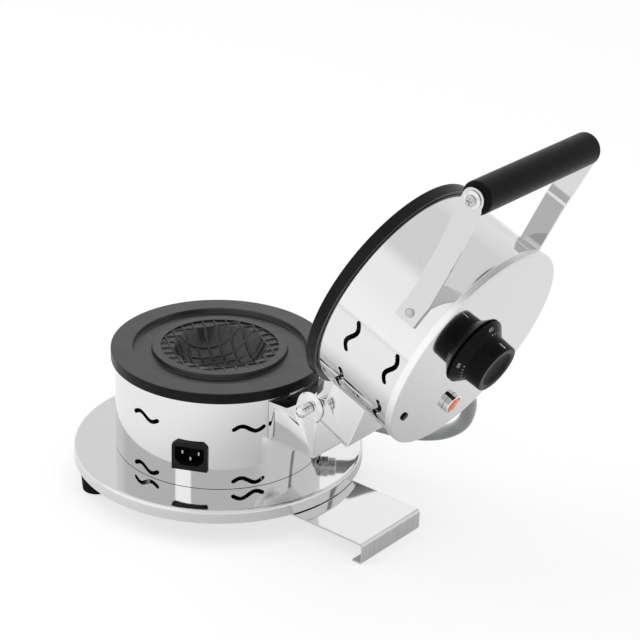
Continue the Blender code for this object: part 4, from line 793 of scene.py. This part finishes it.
def rounded(radius, low, high, edge, steps=3):
    """The outer side of a spun piece, with its two edges rounded."""
    return corner(radius, low, edge, -90, 0, steps) + corner(radius, high, edge, 0, 90, steps)


def dome(radius, low, height, steps):
    """The profile of a dome from its foot, without the point on the foot, to its top."""
    turns = [math.pi / 2 * i / steps for i in range(1, steps)]
    return [(radius * math.cos(t), low + height * math.sin(t)) for t in turns] + [(0, low + height)]


profile = [(0, -PIN_HALF)] + rounded(PIN_RADIUS, -PIN_HALF, PIN_HALF, 0.0003) + [(0, PIN_HALF)]
pin = spun_piece("hinge-pin", screw_steel, profile, 40, across(*HINGE))
fasten(pin, "base", "brushed_steel", "hinge_pin")
for name, side in SIDES.items():
    profile = [(0.0033, 0)]
    for low in (0, SPACER_WIDTH):
        ring = rounded(SPACER_RADIUS, low + 0.0003, low + SPACER_WIDTH - 0.0003, 0.0006)
        profile += [(0.0040, low)] + ring
    profile += [(0.0040, 2 * SPACER_WIDTH), (0.0033, 2 * SPACER_WIDTH)]
    spacer = spun_piece(f"{name}-hinge-spacer", mirror_steel, profile, 40,
                        across(HINGE.x, side * SPACER_SEAT, HINGE.z, side))
    fasten(spacer, "base", "brushed_steel", f"hinge_spacer_{name}")
    profile = [(0, 0), (0.0048, 0), (0.0051, 0.0003), (0.0051, 0.0021), (0.0048, 0.0024)]
    nut = spun_piece(f"{name}-hinge-nut", mirror_steel, profile + dome(0.0048, 0.0024, 0.0028, 8), 48,
                     across(HINGE.x, side * NUT_SEAT, HINGE.z, side))
    fasten(nut, "base", "brushed_steel", f"hinge_nut_{name}")

# Glands and sleeve
# Plated brass-type glands hold the ends of a smooth grey sleeve that carries the wires from the drum
# up to the lid. The sleeve is long enough for the lid to turn; here it is drawn along one fixed route, with
# the lid open.
SLEEVE_RADIUS, SLEEVE_TIP, SLEEVE_STRAIGHT = 0.006, 0.1012, 0.1132
SLEEVE_BENDS = ((0.108, 0.088, 0.047), (0.134, 0.098, 0.046), (0.162, 0.100, 0.056),
                (0.184, 0.096, 0.074), (0.195, 0.089, 0.096), (0.197, 0.081, 0.114))


def gland(name, body, node, place):
    bm = bmesh.new()
    neck = [(0, 0.0809), (0.0076, 0.0809), (0.0076, 0.0946)] + corner(0.0076, 0.1009, 0.0006, 0, 90, 3)
    add_spun(bm, neck + [(0.0064, 0.1009), (0, 0.1009)], 48, place)
    for ring in range(4):
        low = 0.0950 + ring * 0.0012
        add_spun(bm, [(0.0070, low)] + arc(0.0076, low + 0.0005, 0.0004, -80, 80, 4)
                 + [(0.0070, low + 0.001)], 48, place)
    made = plain(name, bm, screw_steel)
    hexagon = spun_piece(name + "-hexagon", screw_steel, rod(0.0098, 0.0882, 0.0942), 6, place)
    soften(hexagon, 0.0005, 3, 25)
    settle(hexagon)
    whole = joined(name, [made, hexagon])
    if body == "lid":
        whole.data.transform(LID @ BASE.inverted())
    fasten(whole, body, "brushed_steel", node)


def smooth_route(points, steps):
    """A Catmull-Rom curve through the points, which starts and ends on its first and last."""
    padded = [2 * points[0] - points[1]] + points + [2 * points[-1] - points[-2]]
    route = []
    for a, b, c, d in zip(padded, padded[1:], padded[2:], padded[3:]):
        for i in range(steps):
            t = i / steps
            route.append((2 * b + (c - a) * t + (2 * a - 5 * b + 4 * c - d) * t ** 2
                          + (3 * b - a - 3 * c + d) * t ** 3) / 2)
    return route + [points[-1]]


gland("lower-gland", "base", "lower_gland", outwards(GLAND_TURN, LOWER_GLAND_LEVEL))
gland("upper-gland", "lid", "upper_gland", outwards(GLAND_TURN, UPPER_GLAND_LEVEL))
grey_sleeve, shader, where = surface("smooth grey sleeve")
shade = clouded(where, (0.42, 0.43, 0.44), (0.52, 0.53, 0.54), 50, 4)
fill(shader, {"Base Color": shade, "Roughness": 0.28, "Coat Weight": 0.35, "Coat Roughness": 0.15,
              "Normal": bump(noise(where, 900), 0.00001)})
sleeve_maker, given = named_tree("sleeve along a route", Route="Geometry", Radius="Float", Sides="Int",
                                 Material="Material")
path = fed("GeometryNodeMeshToCurve", {"Mesh": given["Route"]})
wall = fed("GeometryNodeCurvePrimitiveCircle", {"Resolution": given["Sides"], "Radius": given["Radius"]})
sweep = fed("GeometryNodeCurveToMesh", {"Curve": path, "Profile Curve": wall, "Fill Caps": True})
end_tree(sleeve_maker, sweep, given["Material"])
from_base = [BASE @ on_circle(GLAND_TURN, radius, LOWER_GLAND_LEVEL)
             for radius in (SLEEVE_TIP, SLEEVE_STRAIGHT)]
to_lid = [LID @ on_circle(GLAND_TURN, radius, UPPER_GLAND_LEVEL)
          for radius in (SLEEVE_STRAIGHT, SLEEVE_TIP)]
bends = [BASE @ Vector(point) for point in SLEEVE_BENDS]
route = [from_base[0]] + smooth_route([from_base[1]] + bends + [to_lid[0]], 14) + [to_lid[1]]
mesh = bpy.data.meshes.new("sleeve")
mesh.from_pydata(route, [(i, i + 1) for i in range(len(route) - 1)], [])
sleeve = grown_from(sleeve_maker, "sleeve", mesh, Radius=SLEEVE_RADIUS, Sides=40, Material=grey_sleeve)
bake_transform(sleeve)
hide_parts("conduit")

# Upper drum
# The lid's drum, from the same sheet as the lower one, open at the top where the cap closes it. It has
# three columns of vents on each side.
CAP_TOP = 0.0902
LID_DRUM_BOTTOM, LID_DRUM_TOP = LID_FACE + PLATE_THICK + 0.0005, CAP_TOP - 0.0013
profile = [(lip, LID_DRUM_BOTTOM), (DRUM_RADIUS, LID_DRUM_BOTTOM), (DRUM_RADIUS, LID_DRUM_TOP),
           (inside, LID_DRUM_TOP), (inside, LID_DRUM_BOTTOM + DRUM_SHEET),
           (lip, LID_DRUM_BOTTOM + DRUM_SHEET)]
drum("upper-drum", "upper_housing", "lid", LID, profile, (-94, -63, -32, 32, 63, 94), (0.0355, 0.0744),
     UPPER_GLAND_LEVEL)

# Cap
# A pressed lid of polished sheet that fits over the drum, with a short skirt, and holes for the
# thermostat, the lamp and a plug. The skirt keeps a satin finish and carries a painted highlight, and the
# whole sheet carries painted shade, darker than the disc.
CAP_RADIUS, CAP_BEND, CAP_SHEET, CAP_SKIRT = 0.0892, 0.0012, 0.001, 0.0063
LAMP, PLUG = (0.054, 0.001), (0.0389, -0.0644)
profile = [(0, CAP_TOP)] + corner(CAP_RADIUS, CAP_TOP, CAP_BEND, 90, 0)
profile += corner(CAP_RADIUS, CAP_TOP - CAP_SKIRT, SHEET_EDGE, 0, -90, 2)
profile += [(CAP_RADIUS - CAP_SHEET, CAP_TOP - CAP_SKIRT), (CAP_RADIUS - CAP_SHEET, CAP_TOP - CAP_SHEET),
            (0, CAP_TOP - CAP_SHEET)]
# The cap's sheet gets colour 0.68 against the disc's 0.80: painted shade for the darker reflections it shows.
cap_steel_shade_and_highlight = polished_sheet("polished cap sheet, painted shade and painted highlight", 0.00012, 0.68)
shader = next(node for node in cap_steel_shade_and_highlight.node_tree.nodes if node.type == "BSDF_PRINCIPLED")
facing = cap_steel_shade_and_highlight.node_tree.nodes.new("ShaderNodeTexCoord").outputs["Normal"]
upright = fed("ShaderNodeVectorMath", {0: facing, 1: LID.to_3x3() @ Vector((0, 0, 1))}, "Value",
              operation="DOT_PRODUCT")
# Faces not turned up (the round edge and skirt) get roughness 0.40, a satin finish, and colour 0.97, a
# painted highlight much lighter than the top.
for name, rim_level in (("Roughness", 0.40), ("Base Color", 0.97)):
    top = fed("ShaderNodeMapRange", {"Value": upright, "From Min": 0.3, "From Max": 0.9})
    polished = shader.inputs[name].links[0].from_socket
    fill(shader, {name: mix(top, (rim_level, rim_level, rim_level, 1), polished)})
cap = spun_piece("cap", cap_steel_shade_and_highlight, profile, LARGE_ROUND, None, LID)
bm = bmesh.new()
for (x, y), radius in (((0, 0), 0.0033), (LAMP, 0.0079), (PLUG, 0.0027)):
    add_spun(bm, rod(radius, CAP_TOP - 0.003, CAP_TOP + 0.002), 40, shifted((x, y, 0)))
cut(cap, bm, LID)
fasten(cap, "lid", "polished_steel", "top_cap")

# Signal lamp and plug
# A chromed bezel holds an orange-red lens with a faceted back that glows a little, and a small black
# plug closes a spare hole in the cap.
BEZEL_RADIUS, BEZEL_BORE, BEZEL_TOP, LENS_RADIUS = 0.0082, 0.0068, 0.0050, 0.0065
lens_plastic, shader, where = surface("orange lamp lens")
facets = fed("ShaderNodeTexVoronoi", {"Vector": where, "Scale": 420}, "Distance", feature="F1")
glow = ramp(facets, (0.0, (1.0, 0.42, 0.10)), (0.6, (0.72, 0.10, 0.02)))
fill(shader, {"Base Color": glow, "Emission Color": glow, "Emission Strength": 0.3, "Roughness": 0.22,
              "Coat Weight": 0.15})
knob_plastic = satin_plastic("black knob plastic", 0.004, 0.26, 0.000006, 0.1)
place = LID @ shifted((*LAMP, CAP_TOP))
profile = [(BEZEL_BORE, -0.0112), (0.0076, -0.0112), (0.0076, 0.0003), (BEZEL_RADIUS, 0.0003)]
profile += corner(BEZEL_RADIUS, BEZEL_TOP, 0.0008, 0, 90, 6)
profile += [(0.0070, BEZEL_TOP), (BEZEL_BORE, 0.0046)]
bezel = spun_piece("lamp-bezel", mirror_steel, profile, 64, None, place)
fasten(bezel, "lid", "polished_steel", "lamp_bezel")
profile = [(0, -0.012), (LENS_RADIUS, -0.012), (LENS_RADIUS, 0.0040)]
lens = spun_piece("lamp-lens", lens_plastic, profile + dome(LENS_RADIUS, 0.0040, 0.0018, 10), 64, None, place)
fasten(lens, "lid", "orange_lens", "lamp_lens")
profile = [(0, -0.003), (0.0024, -0.003), (0.0024, 0.0003), (0.0034, 0.0003)]
profile += arc(0.0027, 0.0007, 0.0007, 0, 60, 4) + [(0.0020, 0.0014), (0, 0.0014)]
plug = spun_piece("cap-plug", knob_plastic, profile, 40, None, LID @ shifted((*PLUG, CAP_TOP)))
fasten(plug, "lid", "black_plastic", "cap_plug")

# Handle arms
# Two flat bars of polished steel, each riveted to the drum by a tab that hugs it, bent out at the
# tab's end and again beside the grip, and rounded at the top.
GRIP_X, GRIP_Z, GRIP_HALF, GRIP_RADIUS = -0.1562, 0.0696, 0.0707, 0.0124
ARM_SHEET, ARM_HALF, ARM_KINK = 0.0025, 0.0090, -0.1440
ARM_SIDE = GRIP_HALF + FIT + ARM_SHEET / 2
ARM_BEND = Vector((-0.1050, 0.0672))
TAB_TURN, TAB_LENGTH, TAB_LEVEL, RIVET_TURN = 118, 12.3, 0.0642, 122.5


def eased_path(points, radius, steps=5):
    """Rounds each corner of a path with a curve of about the given reach."""
    path = [points[0]]
    for a, b, c in zip(points, points[1:], points[2:]):
        before, after = (a - b), (c - b)
        reach = min(radius, before.length / 2.5, after.length / 2.5)
        start, end = b + before.normalized() * reach, b + after.normalized() * reach
        for i in range(steps + 1):
            t = i / steps
            path.append(start * (1 - t) ** 2 + b * 2 * t * (1 - t) + end * t ** 2)
    return path + [points[-1]]


def handle_arm(name, side, node):
    tab = [on_circle(TAB_TURN + TAB_LENGTH * i / 8, DRUM_RADIUS + FIT + ARM_SHEET / 2).to_2d()
           for i in range(9)]
    kinks = eased_path([tab[-1], ARM_BEND, Vector((ARM_KINK, ARM_SIDE)), Vector((GRIP_X, ARM_SIDE))],
                       0.006)
    route = [(point, 1) for point in tab[:-1] + kinks]
    for i in range(1, 12):
        turn = math.pi / 2 * i / 12
        route.append((Vector((GRIP_X - ARM_HALF * math.sin(turn), ARM_SIDE)), math.cos(turn)))
    route.append((Vector((GRIP_X - ARM_HALF, ARM_SIDE)), 0.02))
    tab_end = tab[-1].x
    bm = bmesh.new()
    rows = []
    for i, (point, share) in enumerate(route):
        before = (point - route[i - 1][0]).normalized() if i else (route[1][0] - point).normalized()
        after = (route[i + 1][0] - point).normalized() if i < len(route) - 1 else before
        run = (before + after).normalized()
        out = Vector((run.y, -run.x)) * ARM_SHEET / 2 / max(0.5, run.dot(before))
        climb = min(1, max(0, (tab_end - point.x) / (tab_end - ARM_KINK)))
        middle = TAB_LEVEL + (GRIP_Z - TAB_LEVEL) * climb
        rows.append([bm.verts.new((point.x + out.x * offset, side * (point.y + out.y * offset),
                                   middle + rise * share * ARM_HALF))
                     for offset, rise in ((1, 1), (-1, 1), (-1, -1), (1, -1))])
    add_bar(bm, rows)
    made = plain(name, bm, arm_steel_painted_shade, LID, 25)
    soften(made, 0.0003, 2, 50)
    fasten(made, "lid", "polished_steel", node)


# The bars' sheet gets colour 0.70 against the disc's 0.80: painted shade for the darker reflections they
# show.
arm_steel_painted_shade = polished_sheet("polished handle bar, painted shade", 0.00010, 0.70)
for name, side in SIDES.items():
    handle_arm(f"{name}-handle-arm", side, f"handle_arm_{name}")
    profile = [(0, 0.0855), (0.0017, 0.0855), (0.0017, 0.0913), (0.0034, 0.0913)]
    rivet = spun_piece(f"{name}-arm-rivet", screw_steel, profile + dome(0.0034, 0.0913, 0.0014, 6), 32,
                       outwards(side * RIVET_TURN, TAB_LEVEL), LID)
    fasten(rivet, "lid", "brushed_steel", f"arm_rivet_{name}")

# Grip
# A thick sleeve of satin black plastic over a steel rod, held by a screw and a cup washer at each end.
GRIP_BORE, GRIP_EDGE, WASHER_RADIUS, WASHER_BORE, WASHER_HEIGHT = 0.0033, 0.003, 0.0066, 0.0023, 0.0016
grip_plastic = satin_plastic("satin grip plastic", 0.004, 0.34, 0.00002, 0.1)
profile = [(GRIP_BORE, -GRIP_HALF)] + rounded(GRIP_RADIUS, -GRIP_HALF, GRIP_HALF, GRIP_EDGE, 8)
profile += [(GRIP_BORE, GRIP_HALF)]
grip = spun_piece("grip", grip_plastic, profile, 96, across(GRIP_X, 0, GRIP_Z), LID)
fasten(grip, "lid", "black_plastic", "handle_grip")
dress(screw_steel, "handle_rod")
for name, side in SIDES.items():
    seat = GRIP_HALF + ARM_SHEET + 2 * FIT
    profile = [(WASHER_BORE, 0), (WASHER_RADIUS, 0)] + arc(WASHER_RADIUS, 0.0004, 0.0004, -90, 60, 5)
    profile += [(0.0050, 0.0014), (0.0044, WASHER_HEIGHT), (WASHER_BORE, WASHER_HEIGHT)]
    washer = spun_piece(f"{name}-cup-washer", mirror_steel, profile, 56,
                        across(GRIP_X, side * seat, GRIP_Z, side), LID)
    fasten(washer, "lid", "brushed_steel", f"handle_washer_{name}")
    seat += WASHER_HEIGHT + FIT
    place = LID @ across(GRIP_X, side * seat, GRIP_Z, side) @ Matrix.Rotation(0.35, 4, "Z")
    set_screw(f"{name}-handle-screw", f"handle_screw_{name}", "lid", place, (0.0044, 0.0018, 0.002),
              seat - 0.0563)

# Thermostat knob
# A hollow moulding in glossy black with a wide skirt. The skirt carries a printed scale of marks and
# numbers, the crown a pointer line, and the front is dished inside a rim.
KNOB = LID @ shifted((0, 0, CAP_TOP))
SKIRT_OUT, SKIRT_IN, SKIRT_HIGH, CROWN_RADIUS, CROWN_TOP = 0.0285, 0.0208, 0.0086, 0.0203, 0.0235
DISH_FLOOR, DISH_RADIUS = 0.0212, 0.0155
SLOPE_FOOT, SLOPE_HEAD = Vector((0.0283, 0.00185)), Vector((0.0210, 0.00886))
PRINT, PRINT_ROOT, MARK_TURN, NUMBER_TURN = 0.00005, -0.0002, 9, 90
white_print, shader, where = surface("white scale print")
fill(shader, {"Base Color": clouded(where, 0.66, 0.8, 700, 3), "Roughness": 0.4})
dress(screw_steel, "thermostat_body", "thermostat_shaft")
profile = [(0, 0.0214), (0.004, 0.02148), (0.0075, 0.02175), (0.0105, 0.0222), (0.0130, 0.0227),
           (0.0148, 0.0231)]
profile += arc(0.0168, 0.0229, 0.0006, 140, 90, 4)
profile += corner(CROWN_RADIUS, CROWN_TOP, 0.0012, 90, 4, 6)
profile += arc(SKIRT_IN + 0.0008, SKIRT_HIGH + 0.0008, 0.0008, 180, 222, 3)
profile += arc(SKIRT_OUT - 0.0006, 0.0014, 0.0006, 48, 0, 4)
profile += [(SKIRT_OUT, 0.0008), (SKIRT_OUT - 0.0002, 0.0006), (0.0265, 0.0006), (0.0188, 0.0066),
            (0.0183, 0.0205), (0.0058, 0.0205), (0.0058, 0.0020), (0.0033, 0.0020), (0.0033, 0.0163),
            (0, 0.0163)]
moulding = spun_piece("knob-moulding", knob_plastic, profile, 128, None, KNOB)
moulding.data.materials.append(satin_plastic("black knob front", 0.004, 0.45, 0.00002, 0.04))
for face in moulding.data.polygons:
    centre = KNOB.inverted() @ face.center
    if centre.z > DISH_FLOOR and math.hypot(centre.x, centre.y) < DISH_RADIUS:
        face.material_index = 1
fasten(moulding, "knob", "black_plastic", "knob")


def on_skirt(angle, share):
    """Places a flat mark on the skirt's slope, its own X across and its Y up the slope."""
    radius, height = SLOPE_FOOT.lerp(SLOPE_HEAD, share)
    slant = math.atan2(SLOPE_HEAD.y - SLOPE_FOOT.y, SLOPE_FOOT.x - SLOPE_HEAD.x)
    return (turned(angle, "Z") @ shifted((radius, 0, height)) @ turned(90, "Z")
            @ Matrix.Rotation(slant, 4, "X") @ shifted((0, 0, PRINT)))


bm = bmesh.new()
dot = [tuple(on_circle(30 * i, 0.00055).to_2d()) for i in range(12)]
for index in range(31):
    outline = oblong(0.00022, 0.0007) if index % 5 else dot
    add_prism(bm, outline, PRINT_ROOT, PRINT, on_skirt(180 - MARK_TURN * index, 0.84))
marks = plain("scale-marks", bm, white_print, KNOB)
numbers = []
for index, text in enumerate(("OFF", "100", "200", "300")):
    letters = bpy.data.curves.new(text, "FONT")
    letters.body = text
    letters.size, letters.extrude = 0.0033, 0.00008
    letters.align_x, letters.align_y = "CENTER", "CENTER"
    word = linked(text, letters)
    bpy.context.view_layer.update()
    mesh = bpy.data.meshes.new_from_object(word.evaluated_get(bpy.context.evaluated_depsgraph_get()))
    bpy.data.objects.remove(word, do_unlink=True)
    mesh.transform(KNOB @ on_skirt(180 - NUMBER_TURN * index, 0.40))
    mesh.materials.append(white_print)
    numbers.append(linked(f"number-{text}", mesh))
pointer = prism_piece("pointer-line", white_print, oblong(0.0030, 0.0005), -0.0004, PRINT,
                      turned(180, "Z") @ shifted((0.0205, 0, 0.0186)) @ turned(90, "Y"), KNOB)
fasten(joined("knob-scale", [marks, pointer] + numbers), "knob", "black_plastic")

# Floor, lamps, background and camera
# A pale floor under two wide soft boxes, a small card that draws the light edge on the lid, and a
# bright tent round the object, seen from the side of the inlet.
FLOOR_PAINT, FLOOR_GLOW, FLOOR_PAINTED_SHADOW, FLOOR_FAR = 0.42, 0.655, 0.30, 0.62
TENT_PATCHES = ((-112, 28, 26, 44, 0.24), (100, 30, 8, 24, 0.08), (122, 30, 6, 11, 0.24))
STRIP_TURN, STRIP_HALF, STRIP_EDGE, STRIP_LEVEL, TENT_LIGHT = -87.5, 0.132, 0.138, 0.62, 0.62


def smooth_step(value, start, end, low=0, high=1):
    return fed("ShaderNodeMapRange", {"Value": value, "From Min": start, "From Max": end, "To Min": low,
                                      "To Max": high}, "Result", interpolation_type="SMOOTHSTEP")


pale_floor = bpy.data.materials.new("pale floor")
pale_floor.use_nodes = True
tree = pale_floor.node_tree
tree.nodes.clear()
ray = tree.nodes.new("ShaderNodeLightPath").outputs
bright = calc("MAXIMUM", calc("MAXIMUM", ray["Is Camera Ray"], ray["Is Glossy Ray"]),
              ray["Is Transmission Ray"])
spot = tree.nodes.new("ShaderNodeTexCoord").outputs["Object"]
away = fed("ShaderNodeVectorMath", {0: spot}, "Value", operation="LENGTH")
# Seen in reflections, the floor's glow falls from 0.62 to 0.30 within 0.3 m of the object's centre: a painted
# shadow round the object.
level = mix(ray["Is Camera Ray"], smooth_step(away, 0.10, 0.30, FLOOR_PAINTED_SHADOW, FLOOR_FAR), FLOOR_GLOW, "FLOAT")
glow = fed("ShaderNodeEmission", {"Color": (1, 1, 1, 1), "Strength": times(bright, level)})
paint = fill(tree.nodes.new("ShaderNodeBsdfDiffuse"), {"Color": (FLOOR_PAINT, FLOOR_PAINT, FLOOR_PAINT, 1)})
both = fed("ShaderNodeAddShader", {0: paint.outputs[0], 1: glow})
fill(tree.nodes.new("ShaderNodeOutputMaterial"), {"Surface": both})
mesh = bpy.data.meshes.new("floor")
mesh.from_pydata([(-4, -4, 0), (4, -4, 0), (4, 4, 0), (-4, 4, 0)], [], [(0, 1, 2, 3)])
mesh.materials.append(pale_floor)
linked("floor", mesh)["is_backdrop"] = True


def soft_box(name, place, aim, width, height, power, mirrored=True):
    """A soft box that faces a point, out of the camera's sight, with or without a mirror image."""
    light = bpy.data.lights.new(name, "AREA")
    light.shape = "RECTANGLE"
    light.size, light.size_y, light.energy = width, height, power
    made = linked(name, light)
    made.location = place
    made.rotation_euler = (Vector(aim) - Vector(place)).to_track_quat("-Z", "Y").to_euler()
    made.visible_camera, made.visible_glossy = False, mirrored


soft_box("key box", (-1.5, -1.0, 1.7), (0, 0, 0.15), 2.2, 2.2, 17, False)
soft_box("top box", (0.3, 0.5, 2.3), (0, 0, 0.15), 1.8, 1.8, 7, False)
soft_box("side card", (0.887, 0.028, 0.427), (0, -0.03, 0.427), 0.35, 0.034, 0.026)

world = bpy.data.worlds.new("tent")
bpy.context.scene.world = world
world.use_nodes = True
tree = world.node_tree
tree.nodes.clear()
toward = tree.nodes.new("ShaderNodeTexCoord").outputs["Generated"]
ray = tree.nodes.new("ShaderNodeLightPath").outputs


def facing(azimuth, elevation=0):
    """How nearly a ray goes in a direction given in degrees, as a cosine."""
    turn, rise = math.radians(azimuth), math.radians(elevation)
    aim = (math.cos(turn) * math.cos(rise), math.sin(turn) * math.cos(rise), math.sin(rise))
    return fed("ShaderNodeVectorMath", {0: toward, 1: aim}, "Value", operation="DOT_PRODUCT")


def brighter(tent, light):
    return fed("ShaderNodeVectorMath", {0: tent, 1: light}, operation="ADD")


height = fed("ShaderNodeMapRange", {"Value": fed("ShaderNodeSeparateXYZ", {0: toward}, "Z"), "From Min": -1})
rear = ramp(height, (0.0, 0.78), (0.5, 0.84), (0.62, 0.82), (0.8, 0.76), (1.0, 0.77))
front = ramp(height, (0.5, 0.62), (0.66, 0.66), (0.78, 0.65), (0.9, 0.74), (1.0, 0.77))
behind = smooth_step(fed("ShaderNodeSeparateXYZ", {0: toward}, "Y"), -0.15, 0.15)
once = calc("LESS_THAN", ray["Glossy Depth"], 1.5)
twice = calc("GREATER_THAN", ray["Glossy Depth"], 1.5)
tent = mix(calc("MAXIMUM", behind, once), front, rear)
for azimuth, elevation, inner, outer, amount in TENT_PATCHES:
    patch = smooth_step(facing(azimuth, elevation), math.cos(math.radians(outer)),
                        math.cos(math.radians(inner)), 0, amount)
    tent = brighter(tent, times(patch, once))
strip = smooth_step(calc("ABSOLUTE", facing(STRIP_TURN + 90)), STRIP_EDGE, STRIP_HALF)
for share in (STRIP_LEVEL, calc("GREATER_THAN", facing(STRIP_TURN), 0.6), twice):
    strip = times(strip, share)
tent = brighter(tent, strip)
mirrored = calc("MAXIMUM", ray["Is Glossy Ray"], ray["Is Transmission Ray"])
lit = mix(mirrored, (TENT_LIGHT, TENT_LIGHT, TENT_LIGHT, 1), tent)
shown = mix(ray["Is Camera Ray"], lit, (1, 1, 1, 1))
fill(tree.nodes.new("ShaderNodeOutputWorld"), {"Surface": fed("ShaderNodeBackground", {"Color": shown})})
bpy.context.scene.view_settings.view_transform = "Standard"

AZIMUTH, ELEVATION, ROLL = math.radians(38.66), math.radians(25.01), math.radians(2.01)
LOOK_AT, DISTANCE, FOCAL_LENGTH = Vector((0.014835, 0, 0.17652)), 1.57736, 111.54
back = Vector((math.sin(AZIMUTH) * math.cos(ELEVATION), -math.cos(AZIMUTH) * math.cos(ELEVATION),
               math.sin(ELEVATION)))
right = Vector((math.cos(AZIMUTH), math.sin(AZIMUTH), 0))
upward = back.cross(right)
side_axis = right * math.cos(ROLL) + upward * math.sin(ROLL)
up_axis = upward * math.cos(ROLL) - right * math.sin(ROLL)
optics = bpy.data.cameras.new("camera")
optics.lens, optics.sensor_width = FOCAL_LENGTH, 36
camera = linked("camera", optics)
camera.matrix_world = (shifted(LOOK_AT + back * DISTANCE)
                       @ Matrix((side_axis, up_axis, back)).transposed().to_4x4())
bpy.context.scene.camera = camera

low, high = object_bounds()
